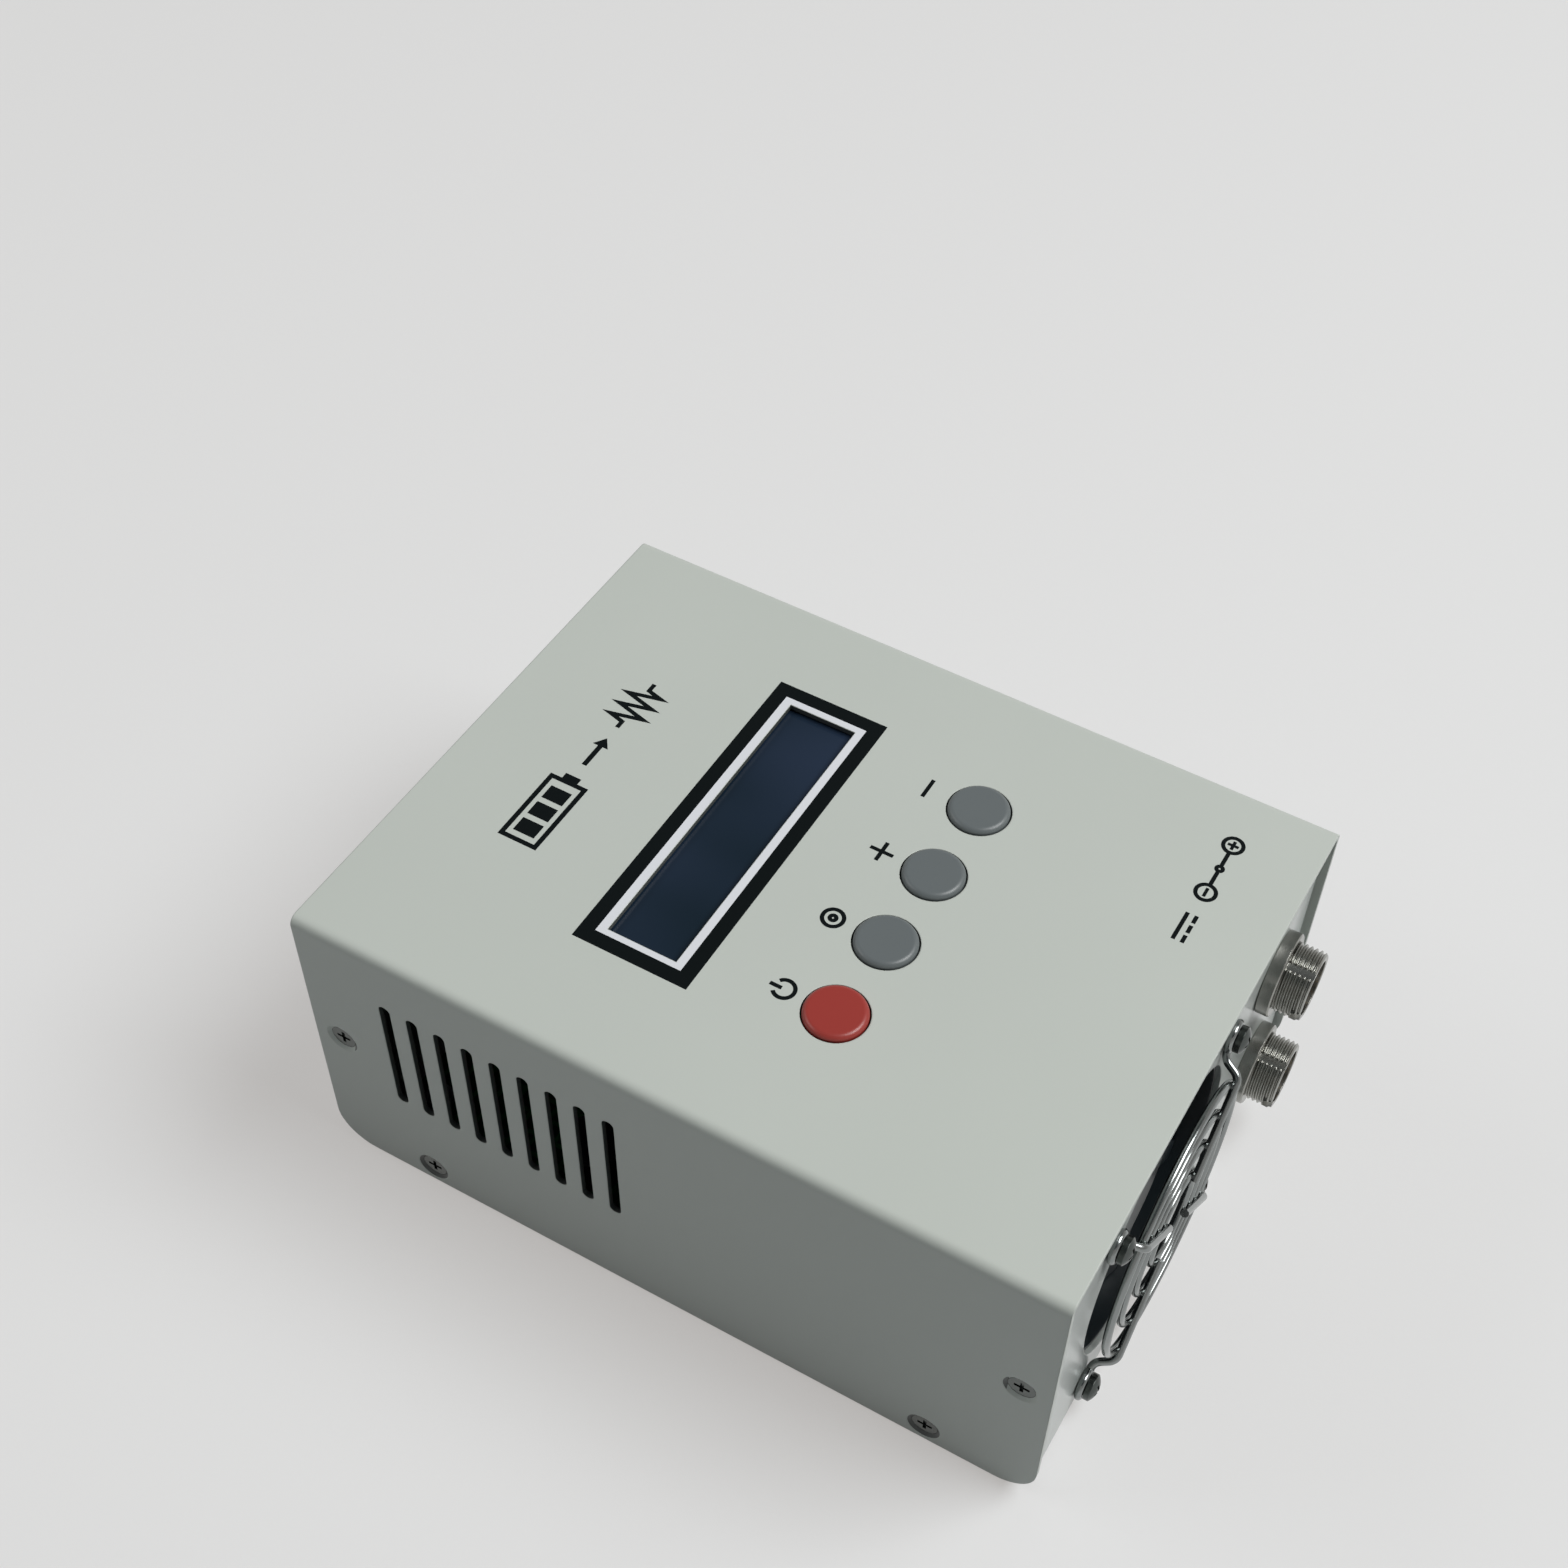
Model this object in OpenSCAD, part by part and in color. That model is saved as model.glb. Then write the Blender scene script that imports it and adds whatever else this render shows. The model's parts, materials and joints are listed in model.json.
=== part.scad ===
// Fan-cooled DC electronic load in a folded steel case.
// X runs to the right, Y to the back and Z up. The origin is under the middle of the case.

/* [Case] */
// Width across the cover
case_w = 117; // [115:1:122]
// Depth of the cover from its front edge to its back edge
case_d = 155; // [153:1:158]
// Thickness of the steel sheet
sheet = 1.2; // [1:0.1:1.4]
// Outside radius of the folds
fold_r = 2; // [1.8:0.1:2.2]
// Step from the cover's edges back to the front and back panels
panel_inset = 1.4; // [0.8:0.2:2]
// Radius of the lower corners of the cover's sides
corner_r = 8; // [2:0.5:10]

/* [Side vents] */
// Number of slots in each side
slot_count = 9; // [5:1:9]
// Distance between slots
slot_pitch = 6; // [5:0.25:6.25]
// Width of a slot
slot_w = 2.5; // [1.5:0.25:3.5]
// Length of a slot
slot_len = 30.4; // [20:0.4:34]
// Height of the slots' middle
slot_z = 40; // [36:1:42]
// Middle of the row, behind the middle of the case
slot_y = 35; // [32:1:36]

/* [Cover screws] */
// Height of the screws near the front and back edges
high_screw_z = 36.5; // [30:0.5:45]
// Distance of the lower screws from the middle of the case
low_screw_y = 54.8; // [45:0.2:58]

/* [Display] */
// Sideways place of the display
display_x = 0.8; // [-2:0.2:2]
// Place of the display behind the middle of the case
display_y = 20.6; // [19:0.2:23]
// Width of the window in the cover
window_w = 64.6; // [56:0.2:65]
// Depth of the window in the cover
window_d = 14.4; // [12:0.2:15.6]

/* [Buttons] */
// Sideways place of the row of buttons
key_x = 0.4; // [-1:0.2:1]
// Place of the row, in front of the middle of the case
key_y = -16.4; // [-17:0.2:-15]
// Distance between buttons
key_pitch = 18.2; // [18:0.1:18.6]
// Diameter of a button cap
key_d = 12; // [11:0.2:12.4]
// Height of the caps above the cover
key_proud = 1; // [0.6:0.2:2]
// Travel of a button
key_travel = 0.4; // [0.3:0.05:0.5]

/* [Fan] */
// Side of the square fan
fan_size = 60; // [56:1:64]
// Room between the fan and the top of the cover
fan_headroom = 5.6; // [4.6:0.2:12]
// Distance from the fan's axis to the sockets
fan_step = 49.4; // [48.4:0.2:50.4]
// Depth of the fan
fan_depth = 25; // [24:0.5:25.5]
// Number of blades
blade_count = 7; // [5:1:7]

/* [Fan guard] */
// Diameter of the guard's wire
guard_wire = 1.6; // [1.4:0.1:1.8]
// Number of rings
guard_rings = 4; // [3:1:5]
// Height of the legs' wire centre above the front panel
guard_rise = 4.6; // [4.2:0.2:5.4]

/* [Sockets] */
// Distance of the sockets from the right side of the case
socket_edge = 21.1; // [20.5:0.2:21.7]
// Height midway between the sockets
socket_z = 33.8; // [33:0.2:35]
// Distance between the sockets
socket_pitch = 29.6; // [28:0.2:30]
// Outside diameter of the socket thread
thread_d = 14.4; // [14.2:0.2:15]
// Diameter of the socket flange
flange_d = 17.2; // [16.8:0.2:18]
// How far a socket stands out from the front panel
socket_out = 8.4; // [7.6:0.2:10]

/* [Boards] */
// Height of the main board's standoffs
standoff_h = 6; // [5.5:0.5:7]
// Gap between the main board and the sides of the chassis
board_side_gap = 3.9; // [3.9:0.1:5]
// Depth of the main board
board_d = 112; // [110:1:113]

/* [Heat sink] */
// Length of the heat sink along the air stream
sink_len = 60; // [58:1:64]
// Number of fins
fin_count = 8; // [4:1:9]
// Thickness of a fin
fin_t = 1.6; // [1:0.2:2.4]

/* [Hidden] */
$fn = 48;

// Extra length that carries a cut clean through a face
cut = 1;
// Gap between loosely assembled pieces
slack = 0.2;
// Radial gap of a close fit
fit = 0.05;
// Thickness of every circuit board
board_t = 1.6;
// Facets of large rings and of wire
fine_fn = 96;
wire_fn = 24;

// Case
half_w = case_w / 2;
half_d = case_d / 2;
fan_z = fold_r + slack + fan_size / 2;
top_z = fan_z + fan_size / 2 + fan_headroom;
case_h = top_z + sheet;
socket_x = half_w - socket_edge;
fan_x = socket_x - fan_step;
panel_y = half_d - panel_inset;
cover_lift = 0.5;
tray_w = case_w - 2 * sheet - 2 * slack;
tray_h = top_z - 2 * slack;
side_flange_h = 10;
side_flange_setback = 14;
side_flange_len = 2 * (panel_y - side_flange_setback);
return_d = 12;
return_z = 12;
return_drop = 4;
return_h = tray_h - return_z - return_drop;

// M3 cover screws, their clinch nuts and countersinks
m3_shank_d = 2.9;
m3_hole_d = 3.4;
m3_bore_d = m3_shank_d + 2 * fit;
m3_head_d = 5.6;
m3_head_h = 2;
clinch_d = 5;
clinch_t = 1.8;
sink_mouth_d = 7;
head_below = 0.5;
sink_head_d = sink_mouth_d - head_below * (sink_mouth_d - m3_hole_d) / sheet - 2 * fit;
flange_stack = 2 * sheet + slack;
low_nut_gap = 0.3;
high_nut_gap = 0.1;
low_screw_z = fold_r + clinch_d / 2 + low_nut_gap;
high_screw_y = panel_y - fold_r - clinch_d / 2 - high_nut_gap;
cover_screw_spots = [
    for (side = [-1, 1]) each [[side * high_screw_y, high_screw_z], [side * low_screw_y, low_screw_z]]
];

// Cross recess of the screw heads
recess_len = 3;
recess_w = 0.7;
recess_depth = 0.6;

// Display module, measured down from the underside of the cover
bezel_size = [71.2, 25.2, 8.6];
bezel_t = 0.4;
bezel_rim = [2.6, 4.6];
glass_t = 2.6;
glass_gap = 0.2;
bezel_window = [bezel_size[0] - 2 * bezel_rim[0], bezel_size[1] - 2 * bezel_rim[1]];
glass_size = [
    bezel_size[0] - 2 * (bezel_t + glass_gap),
    bezel_size[1] - 2 * (bezel_t + glass_gap),
    glass_t
];
lcd_board_size = [80, 36, board_t];
lcd_hole_pitch = [75, 31];
lcd_header_size = [40.6, 2.5, 2.5];
cable_t = 0.9;
lcd_cable_w = 40;

// Studs under the cover
stud_d = 2.5;
stud_hole_d = 2.8;
stud_len = 13;
stud_nut_d = 5.6;
stud_nut_h = 2;
spacer_d = 5;

// Buttons and their switches, measured up from the switch board
key_count = 4;
key_gap = 0.3;
cap_h = 6.2;
cap_wall = 1.2;
cap_round = 1.1;
cap_boss_d = 7.2;
switch_size = [12, 12, 3.6];
switch_floor = 0.8;
switch_lip = 0.6;
well_d = 8.4;
mouth_d = 7.4;
collar_d = 7.8;
neck_d = 6.8;
collar_z = 1.7;
collar_h = 1;
neck_top = 4.2;
post_w = 3.8;
post_top = 7.3;
dome_d = 7.2;
dome_t = 0.2;
cap_z = case_h + key_proud - cap_h;
switch_z = cap_z - 2 * key_travel - switch_size[2];
key_board_size = [76, 20, board_t];
key_stud_y = 6;
key_cable_w = 7.2;
key_cable_x = 27;
key_cable_y = key_y - 7.6;

// Fan, measured inwards from its front face
fan_wall = 1.5;
fan_skin = 0.3;
fan_hole_inset = 5;
fan_hole_d = 4.4;
opening_gap = 0.5;
fan_bore = fan_size - 2 * fan_wall;
fan_opening_d = fan_bore + 2 * opening_gap;
fan_hole_pitch = fan_size - 2 * fan_hole_inset;
fan_corner_r = 3;
fan_barrel_d = fan_size - 2 * fan_skin;
fan_flange_t = 3.5;
fan_y = -panel_y + sheet;
fan_back = fan_y + fan_depth;
motor_plate_t = 3.3;
motor_z = fan_depth - motor_plate_t;
motor_d = 26;
strut_count = 4;
strut_w = 3.5;
tube_d = 9;
tube_z = 8.5;
bearing_d = 6;
shaft_d = 3;
shaft_z = 3.05;
shaft_gap = 0.5;
shaft_end = motor_z - shaft_gap;
hub_z = 2.5;
hub_wall = 2;
hub_setback = 5;
hub_end = fan_depth - hub_setback;
skirt_t = 1.4;
rotor_boss_d = 8;
rotor_boss_end = 7.4;
blade_gap = 0.9;
blade_tip_d = fan_bore - 2 * blade_gap;
blade_t = 1.2;
blade_reach = 20;
blade_z = 3.4;
blade_setback = 0.6;
blade_h = hub_end - blade_z - blade_setback;
blade_camber_r = 26;
magnet_t = 1.15;
magnet_z = 8.5;
magnet_setback = 6.5;
magnet_h = fan_depth - magnet_setback - magnet_z;
stator_z = 9.5;
stator_setback = 7.5;
stator_h = fan_depth - stator_setback - stator_z;
stator_d = 19.2;
stator_tip_t = 1;
stator_ring_d = 12.4;
pole_count = 4;
pole_w = 3;
pole_span = 64;
coil_r = [6.4, 7.9];
coil_t = 1.2;
driver_d = 22;
driver_t = 1;

// Fan fasteners
fan_head_d = 5.4;
fan_head_h = 2.1;
fan_dome_r = 4;
m3_nut_d = 6.3;
m3_nut_h = 2.4;
fan_screw_end = 0.8;

// Fan guard, measured outwards from the front panel
wire_r = guard_wire / 2;
loop_r = 2.6;
loop_z = wire_r + fit;
weld = 0.4;
guard_margin = 1.5;
guard_outer_r = fan_bore / 2 - guard_margin;
guard_inner_r = 9;
ring_z = guard_rise - guard_wire + weld;
leg_bend_r = 2.4;
leg_bend = 60;
leg_grip = 0.3;
leg_neck = 0.03;
leg_r = wire_r - leg_neck;
leg_start = fan_hole_pitch / sqrt(2) - loop_r - wire_r / 2;
riser_len = (guard_rise - loop_z - 2 * leg_bend_r * (1 - cos(leg_bend))) / sin(leg_bend);
leg_step = leg_start - 2 * leg_bend_r * sin(leg_bend) - riser_len * cos(leg_bend);
leg_overrun = 1;
leg_end = guard_inner_r - leg_overrun;

// Sockets, measured outwards from the front panel
shell_wall = 1.6;
socket_bore_d = thread_d - 2 * shell_wall;
socket_flange_t = 2.8;
rear_step = 0.3;
socket_rear_d = thread_d - 2 * rear_step;
socket_rear = 9;
rim_chamfer = 0.5;
flat_depth = 0.9;
flat_turn = 235;
notch_w = 2.6;
notch_depth = 1.8;
notch_turn = 195;
insert_face = 1.6;
pin_d = 1.8;
pin_ring_r = 3.5;
pin_recess = 1.5;
pin_tip = socket_out - pin_recess;
pin_tail = 14;
washer_d = 18;
washer_t = 0.6;
socket_nut_d = 20.6;
socket_nut_t = 2.6;
socket_spots = [for (side = [1, -1]) [socket_x, socket_z + side * socket_pitch / 2]];

// Main board, with places on it counted from its front edge
board_z = sheet + standoff_h;
board_top = board_z + board_t;
board_gap = 5;
board_front = fan_back + board_gap;
board_w = tray_w - 2 * sheet - 2 * board_side_gap;
board_half = board_w / 2;
board_y = board_front + board_d / 2;
standoff_d = 6.4;
standoff_root_d = 4;
standoff_root_lift = 0.2;
standoff_floor = 1.2;
board_hole_inset = 5;
board_hole_x = board_half - board_hole_inset;
board_hole_y = [6, 106];
plug_h = 6;
fan_plug_size = [5.8, 7.6, plug_h];
fan_lead_inset = 2;
fan_plug_at = [fan_x - fan_size / 2 + fan_lead_inset, 4.5];
lcd_plug_size = [42, 6, plug_h];
lcd_plug_at = [display_x, display_y + lcd_hole_pitch[1] / 2 - board_front];
key_plug_size = [9, 6, plug_h];
key_plug_at = [key_cable_x, key_cable_y - board_front];

// Leads inside the case
load_lead_d = 3.2;
load_bend_r = 12;
load_land = 5;
supply_lead_d = 2;
supply_bend_r = [5, 4];
supply_land = [13, 3];
fan_lead_d = 1.4;
fan_lead_gap = 1.8;
fan_lead_z = 20;
fan_bend_r = 4;

// Heat sink with the power transistors on its right face
sink_span = [-22, 24];
sink_x = [fan_x + sink_span[0], fan_x + sink_span[1]];
sink_gap = 6;
sink_y = fan_back + sink_gap;
sink_base_t = 5;
sink_headroom = 17;
sink_top = case_h - sink_headroom;
fin_floor = 17;
device_count = 3;
device_pitch = 20;
device_size = [5, 16, 21];
device_z = 18;
device_hole_z = 34.5;
device_mid_y = sink_y + sink_len / 2;
pad_t = 0.3;
pad_rim = 0.5;
leg_size = [0.6, 1.2];
leg_gap = 5.4;
leg_root = 1;
device_x = sink_x[1] + pad_t;

// Other pieces on the main board, measured from its nearer side and its front edge
capacitor_d = 16;
capacitor_h = 25;
capacitor_at = [[10, 61], [10, 78]];
inductor_r = 8.5;
inductor_core_r = 4.2;
inductor_at = [14, 37];
relay_size = [15.5, 19, 15.3];
relay_at = [18, 99.5];
shunt_d = 2.2;
shunt_bend_r = 6;
shunt_leg = 3;
shunt_at = [25, 59];
chip_size = [10, 10, 1.4];
chip_at = [44, 99];
buzzer_d = 12;
buzzer_h = 9;
buzzer_hole_d = 2;
buzzer_at = [8, 71];

// Colours
paint = [0.75, 0.77, 0.74];
key_grey = [0.42, 0.44, 0.45];
key_red = [0.62, 0.23, 0.20];
steel = [0.72, 0.73, 0.75];
chrome = [0.80, 0.81, 0.83];
black = [0.08, 0.09, 0.10];
board_green = [0.10, 0.34, 0.20];
copper = [0.72, 0.42, 0.22];

// Places

// Local frame on the outside of the front panel, with Z pointing out
module on_front(x, z) {
    translate([x, -panel_y, z]) rotate([90, 0, 0]) children();
}

// Local frame on the fan's axis, with Z pointing into the case
module in_fan() {
    translate([fan_x, fan_y, fan_z]) rotate([-90, 0, 0]) children();
}

// Every cover screw, with Z pointing out of the cover's side
module at_cover_screws() {
    for (side = [0, 180], spot = cover_screw_spots)
        rotate([0, 0, side]) translate([half_w, spot[0], spot[1]]) rotate([0, 90, 0]) children();
}

// Underside of the cover over the middle of the display
module under_display() {
    translate([display_x, display_y, top_z]) children();
}

// The four fan holes, in the frame of on_front()
module at_fan_holes() {
    for (x = [-1, 1], y = [-1, 1])
        translate([x, y] * fan_hole_pitch / 2) children();
}

// The four corner studs of the display board
module at_lcd_studs() {
    for (x = [-1, 1], y = [-1, 1])
        translate([display_x + x * lcd_hole_pitch[0] / 2, display_y + y * lcd_hole_pitch[1] / 2]) children();
}

// The four studs of the switch board, between the switches
module at_key_studs() {
    for (x = [-1, 1], y = [-1, 1])
        translate([key_x + x * key_pitch, key_y + y * key_stud_y]) children();
}

// One button by its number, counted from the left
module at_key(number) {
    translate([key_x + (number - (key_count - 1) / 2) * key_pitch, key_y]) children();
}

// A place on top of the main board, with Y counted from its front edge
module on_board(spot) {
    translate([spot[0], board_front + spot[1], board_top]) children();
}

// A place on top of the main board, with X counted from its right side (1) or its left side (-1)
module from_side(side, spot) {
    on_board([side * (board_half - spot[0]), spot[1]]) children();
}

// The holes of the main board
module at_board_holes() {
    for (x = [-1, 1], y = board_hole_y)
        translate([x * board_hole_x, board_front + y]) children();
}

// The two sockets
module at_sockets() {
    for (spot = socket_spots)
        on_front(spot[0], spot[1]) children();
}

// The pins of one socket
module at_pins() {
    for (turn = [0 : 90 : 270])
        rotate([0, 0, turn]) translate([pin_ring_r, 0]) children();
}

// The power transistors, on the right face of the heat sink
module at_devices() {
    for (number = [0 : device_count - 1])
        translate([0, device_mid_y + (number - (device_count - 1) / 2) * device_pitch, 0]) children();
}

// Shared shapes

// Rectangle with rounded corners
module rounded_rect(w, h, r) {
    square([w - 2 * r, h], center = true);
    square([w, h - 2 * r], center = true);
    for (x = [-1, 1], y = [-1, 1])
        translate([x * (w / 2 - r), y * (h / 2 - r)]) circle(r);
}

// Rectangle on the X axis with its two upper corners rounded
module arch(w, h, r) {
    translate([-w / 2, 0]) square([w, h - r]);
    translate([-w / 2 + r, 0]) square([w - 2 * r, h]);
    for (x = [-1, 1])
        translate([x * (w / 2 - r), h - r]) circle(r);
}

// Section of a folded channel with its web on top
module channel(w, h) {
    difference() {
        arch(w, h, fold_r);
        translate([0, -cut]) arch(w - 2 * sheet, h - sheet + cut, fold_r - sheet);
    }
}

// Section of a folded channel with its web below
module tray(w, h) {
    translate([0, h]) mirror([0, 1]) channel(w, h);
}

// Slot with round ends
module slot(w, len) {
    square([w, len - w], center = true);
    for (y = [-1, 1])
        translate([0, y * (len - w) / 2]) circle(d = w);
}

// Flat or tall ring
module ring(outer_d, inner_d, h) {
    difference() {
        cylinder(d = outer_d, h = h);
        translate([0, 0, -cut]) cylinder(d = inner_d, h = h + 2 * cut);
    }
}

// Hexagon nut
module hex_nut(corner_d, bore_d, h) {
    difference() {
        cylinder(d = corner_d, h = h, $fn = 6);
        translate([0, 0, -cut]) cylinder(d = bore_d, h = h + 2 * cut);
    }
}

// Cross recess cut down from the plane Z = 0
module cross_recess() {
    for (turn = [0, 90])
        rotate([0, 0, turn])
            translate([-recess_len / 2, -recess_w / 2, -recess_depth])
                cube([recess_len, recess_w, recess_depth + cut]);
}

// Pan-head M3 screw standing on Z = 0, with its shank below
module pan_screw(len) {
    difference() {
        cylinder(d = m3_head_d, h = m3_head_h);
        translate([0, 0, m3_head_h]) cross_recess();
    }
    translate([0, 0, -len]) cylinder(d = m3_shank_d, h = len + fit);
}

// Box with its middle over the origin, standing on Z = 0
module block(size) {
    translate([-size[0] / 2, -size[1] / 2, 0]) cube(size);
}

// Lead that runs back along Y, bends down and drops
module drop_lead(d, run, bend_r, drop) {
    rotate([-90, 0, 0]) cylinder(d = d, h = run);
    translate([0, run, -bend_r]) rotate([90, 0, 90])
        rotate_extrude(angle = 90) translate([bend_r, 0]) circle(d = d);
    translate([0, run + bend_r, -bend_r - drop]) cylinder(d = d, h = drop);
}

// Case

module cover() {
    color(paint)
    difference() {
        rotate([90, 0, 0]) linear_extrude(case_d, center = true)
            translate([0, cover_lift]) channel(case_w, case_h - cover_lift);
        cover_corner_cuts();
        translate([display_x, display_y, top_z - cut]) linear_extrude(sheet + 2 * cut)
            square([window_w, window_d], center = true);
        for (number = [0 : key_count - 1])
            at_key(number) translate([0, 0, top_z - cut])
                cylinder(d = key_d + 2 * key_gap, h = sheet + 2 * cut);
        for (number = [0 : slot_count - 1])
            translate([0, slot_y + (number - (slot_count - 1) / 2) * slot_pitch, slot_z])
                rotate([90, 0, 90]) linear_extrude(case_w + 2 * cut, center = true) slot(slot_w, slot_len);
        at_cover_screws() cover_countersink();
    }
}

// Waste outside the rounded lower corners of the cover's sides
module cover_corner_cuts() {
    for (side = [-1, 1])
        rotate([90, 0, 90]) linear_extrude(case_w + 2 * cut, center = true)
            difference() {
                translate([side * (half_d - corner_r / 2 + cut), cover_lift + corner_r / 2 - cut])
                    square([corner_r + 2 * cut, corner_r + 2 * cut], center = true);
                translate([side * (half_d - corner_r), cover_lift + corner_r]) circle(corner_r);
                translate([side * (half_d - corner_r - cut), cover_lift + corner_r / 2])
                    square([2 * cut, 2 * corner_r], center = true);
                translate([side * (half_d - corner_r / 2), cover_lift + corner_r + cut])
                    square([2 * corner_r, 2 * cut], center = true);
            }
}

module cover_countersink() {
    translate([0, 0, -sheet]) cylinder(d1 = m3_hole_d, d2 = sink_mouth_d, h = sheet);
    translate([0, 0, -sheet - cut]) cylinder(d = m3_hole_d, h = sheet + 2 * cut);
    cylinder(d = sink_mouth_d, h = cut);
}

module chassis() {
    color(paint)
    difference() {
        union() {
            rotate([90, 0, 90]) linear_extrude(tray_w - 2 * fold_r, center = true)
                tray(2 * panel_y, tray_h);
            rotate([90, 0, 0]) linear_extrude(side_flange_len, center = true) tray(tray_w, side_flange_h);
            for (turn = [0, 180])
                rotate([0, 0, turn]) translate([0, panel_y - return_d, return_z])
                    linear_extrude(return_h) channel(tray_w, return_d);
        }
        on_front(fan_x, fan_z) translate([0, 0, -sheet - cut]) {
            cylinder(d = fan_opening_d, h = sheet + 2 * cut, $fn = fine_fn);
            at_fan_holes() cylinder(d = m3_hole_d, h = sheet + 2 * cut);
        }
        at_sockets() translate([0, 0, -sheet - cut])
            cylinder(d = socket_rear_d + 2 * slack, h = sheet + 2 * cut);
        at_cover_screws() translate([0, 0, -flange_stack - cut])
            cylinder(d = m3_hole_d, h = sheet + 2 * cut);
        at_board_holes() translate([0, 0, -cut])
            cylinder(d = standoff_root_d + 2 * fit, h = sheet + 2 * cut);
    }
}

module clinch_nuts() {
    color(steel)
    at_cover_screws() translate([0, 0, -flange_stack - clinch_t]) ring(clinch_d, m3_bore_d, clinch_t);
}

module cover_screws() {
    color(steel)
    at_cover_screws() difference() {
        union() {
            translate([0, 0, -sheet])
                cylinder(d1 = m3_hole_d - 2 * fit, d2 = sink_head_d, h = sheet - head_below);
            translate([0, 0, -flange_stack - clinch_t])
                cylinder(d = m3_shank_d, h = flange_stack + clinch_t - sheet + fit);
        }
        translate([0, 0, -head_below]) cross_recess();
    }
}

module cover_studs() {
    color(steel)
    translate([0, 0, top_z - stud_len]) {
        at_lcd_studs() cylinder(d = stud_d, h = stud_len);
        at_key_studs() cylinder(d = stud_d, h = stud_len);
    }
}

module stud_nuts() {
    color(steel) {
        translate([0, 0, top_z - bezel_size[2] - board_t - stud_nut_h])
            at_lcd_studs() hex_nut(stud_nut_d, stud_d + 2 * fit, stud_nut_h);
        translate([0, 0, switch_z - board_t - stud_nut_h])
            at_key_studs() hex_nut(stud_nut_d, stud_d + 2 * fit, stud_nut_h);
    }
}

module board_spacers() {
    color("white") {
        translate([0, 0, top_z - bezel_size[2]])
            at_lcd_studs() ring(spacer_d, stud_d + 2 * fit, bezel_size[2]);
        translate([0, 0, switch_z])
            at_key_studs() ring(spacer_d, stud_d + 2 * fit, top_z - switch_z);
    }
}

// Display

module lcd_bezel() {
    color(black)
    under_display() translate([0, 0, -bezel_size[2]]) difference() {
        block(bezel_size);
        translate([0, 0, -bezel_t])
            block([bezel_size[0] - 2 * bezel_t, bezel_size[1] - 2 * bezel_t, bezel_size[2]]);
        block([bezel_window[0], bezel_window[1], bezel_size[2] + cut]);
    }
}

module lcd_glass() {
    color([0.12, 0.16, 0.24])
    under_display() translate([0, 0, -bezel_t - glass_size[2]]) block(glass_size);
}

module lcd_backlight() {
    color([0.85, 0.88, 0.90])
    under_display() translate([0, 0, -bezel_size[2]])
        block([glass_size[0], glass_size[1], bezel_size[2] - bezel_t - glass_size[2]]);
}

module lcd_board() {
    color(board_green)
    difference() {
        under_display() translate([0, 0, -bezel_size[2] - board_t]) block(lcd_board_size);
        translate([0, 0, top_z - bezel_size[2] - board_t - cut])
            at_lcd_studs() cylinder(d = stud_hole_d, h = board_t + 2 * cut);
    }
}

module lcd_header() {
    color(black)
    under_display() translate([0, lcd_hole_pitch[1] / 2, -bezel_size[2] - board_t - lcd_header_size[2]])
        block(lcd_header_size);
}

module lcd_cable() {
    cable_h = top_z - bezel_size[2] - board_t - lcd_header_size[2] - board_top - plug_h;
    color([0.60, 0.61, 0.62])
    on_board(lcd_plug_at) translate([0, 0, plug_h]) block([lcd_cable_w, cable_t, cable_h]);
}

// Buttons

// Cap with a rounded top edge, hollow below, that stands on the square post of its switch
module button_cap(number) {
    at_key(number) translate([0, 0, cap_z]) difference() {
        rotate_extrude() {
            square([key_d / 2 - cap_round, cap_h]);
            square([key_d / 2, cap_h - cap_round]);
            translate([key_d / 2 - cap_round, cap_h - cap_round]) circle(cap_round);
        }
        translate([0, 0, -cut]) ring(key_d - 2 * cap_wall, cap_boss_d, cap_h / 2 + cut);
        translate([0, 0, -cut])
            block([post_w + 2 * fit, post_w + 2 * fit, cut + switch_z + post_top - cap_z]);
    }
}

// Plunger held in the switch by its collar
module switch_stem(number) {
    color(black)
    at_key(number) translate([0, 0, switch_z]) {
        translate([0, 0, collar_z]) cylinder(d = collar_d, h = collar_h);
        translate([0, 0, collar_z]) cylinder(d = neck_d, h = neck_top - collar_z);
        translate([0, 0, collar_z]) block([post_w, post_w, post_top - collar_z]);
    }
}

module on_button() { color(key_red) button_cap(0); }
module set_button() { color(key_grey) button_cap(1); }
module up_button() { color(key_grey) button_cap(2); }
module down_button() { color(key_grey) button_cap(3); }
module on_stem() { switch_stem(0); }
module set_stem() { switch_stem(1); }
module up_stem() { switch_stem(2); }
module down_stem() { switch_stem(3); }

module key_switches() {
    color(black)
    for (number = [0 : key_count - 1])
        at_key(number) translate([0, 0, switch_z]) difference() {
            block(switch_size);
            translate([0, 0, switch_floor])
                cylinder(d = well_d, h = switch_size[2] - switch_floor - switch_lip);
            translate([0, 0, switch_floor]) cylinder(d = mouth_d, h = switch_size[2]);
        }
}

module switch_domes() {
    color(steel)
    for (number = [0 : key_count - 1])
        at_key(number) translate([0, 0, switch_z + switch_floor]) cylinder(d = dome_d, h = dome_t);
}

module key_board() {
    color(board_green)
    difference() {
        translate([key_x, key_y, switch_z - board_t]) block(key_board_size);
        translate([0, 0, switch_z - board_t - cut])
            at_key_studs() cylinder(d = stud_hole_d, h = board_t + 2 * cut);
    }
}

module key_cable() {
    cable_h = switch_z - board_t - board_top - plug_h;
    color([0.60, 0.61, 0.62])
    on_board(key_plug_at) translate([0, 0, plug_h]) block([key_cable_w, cable_t, cable_h]);
}

// Fan

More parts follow.
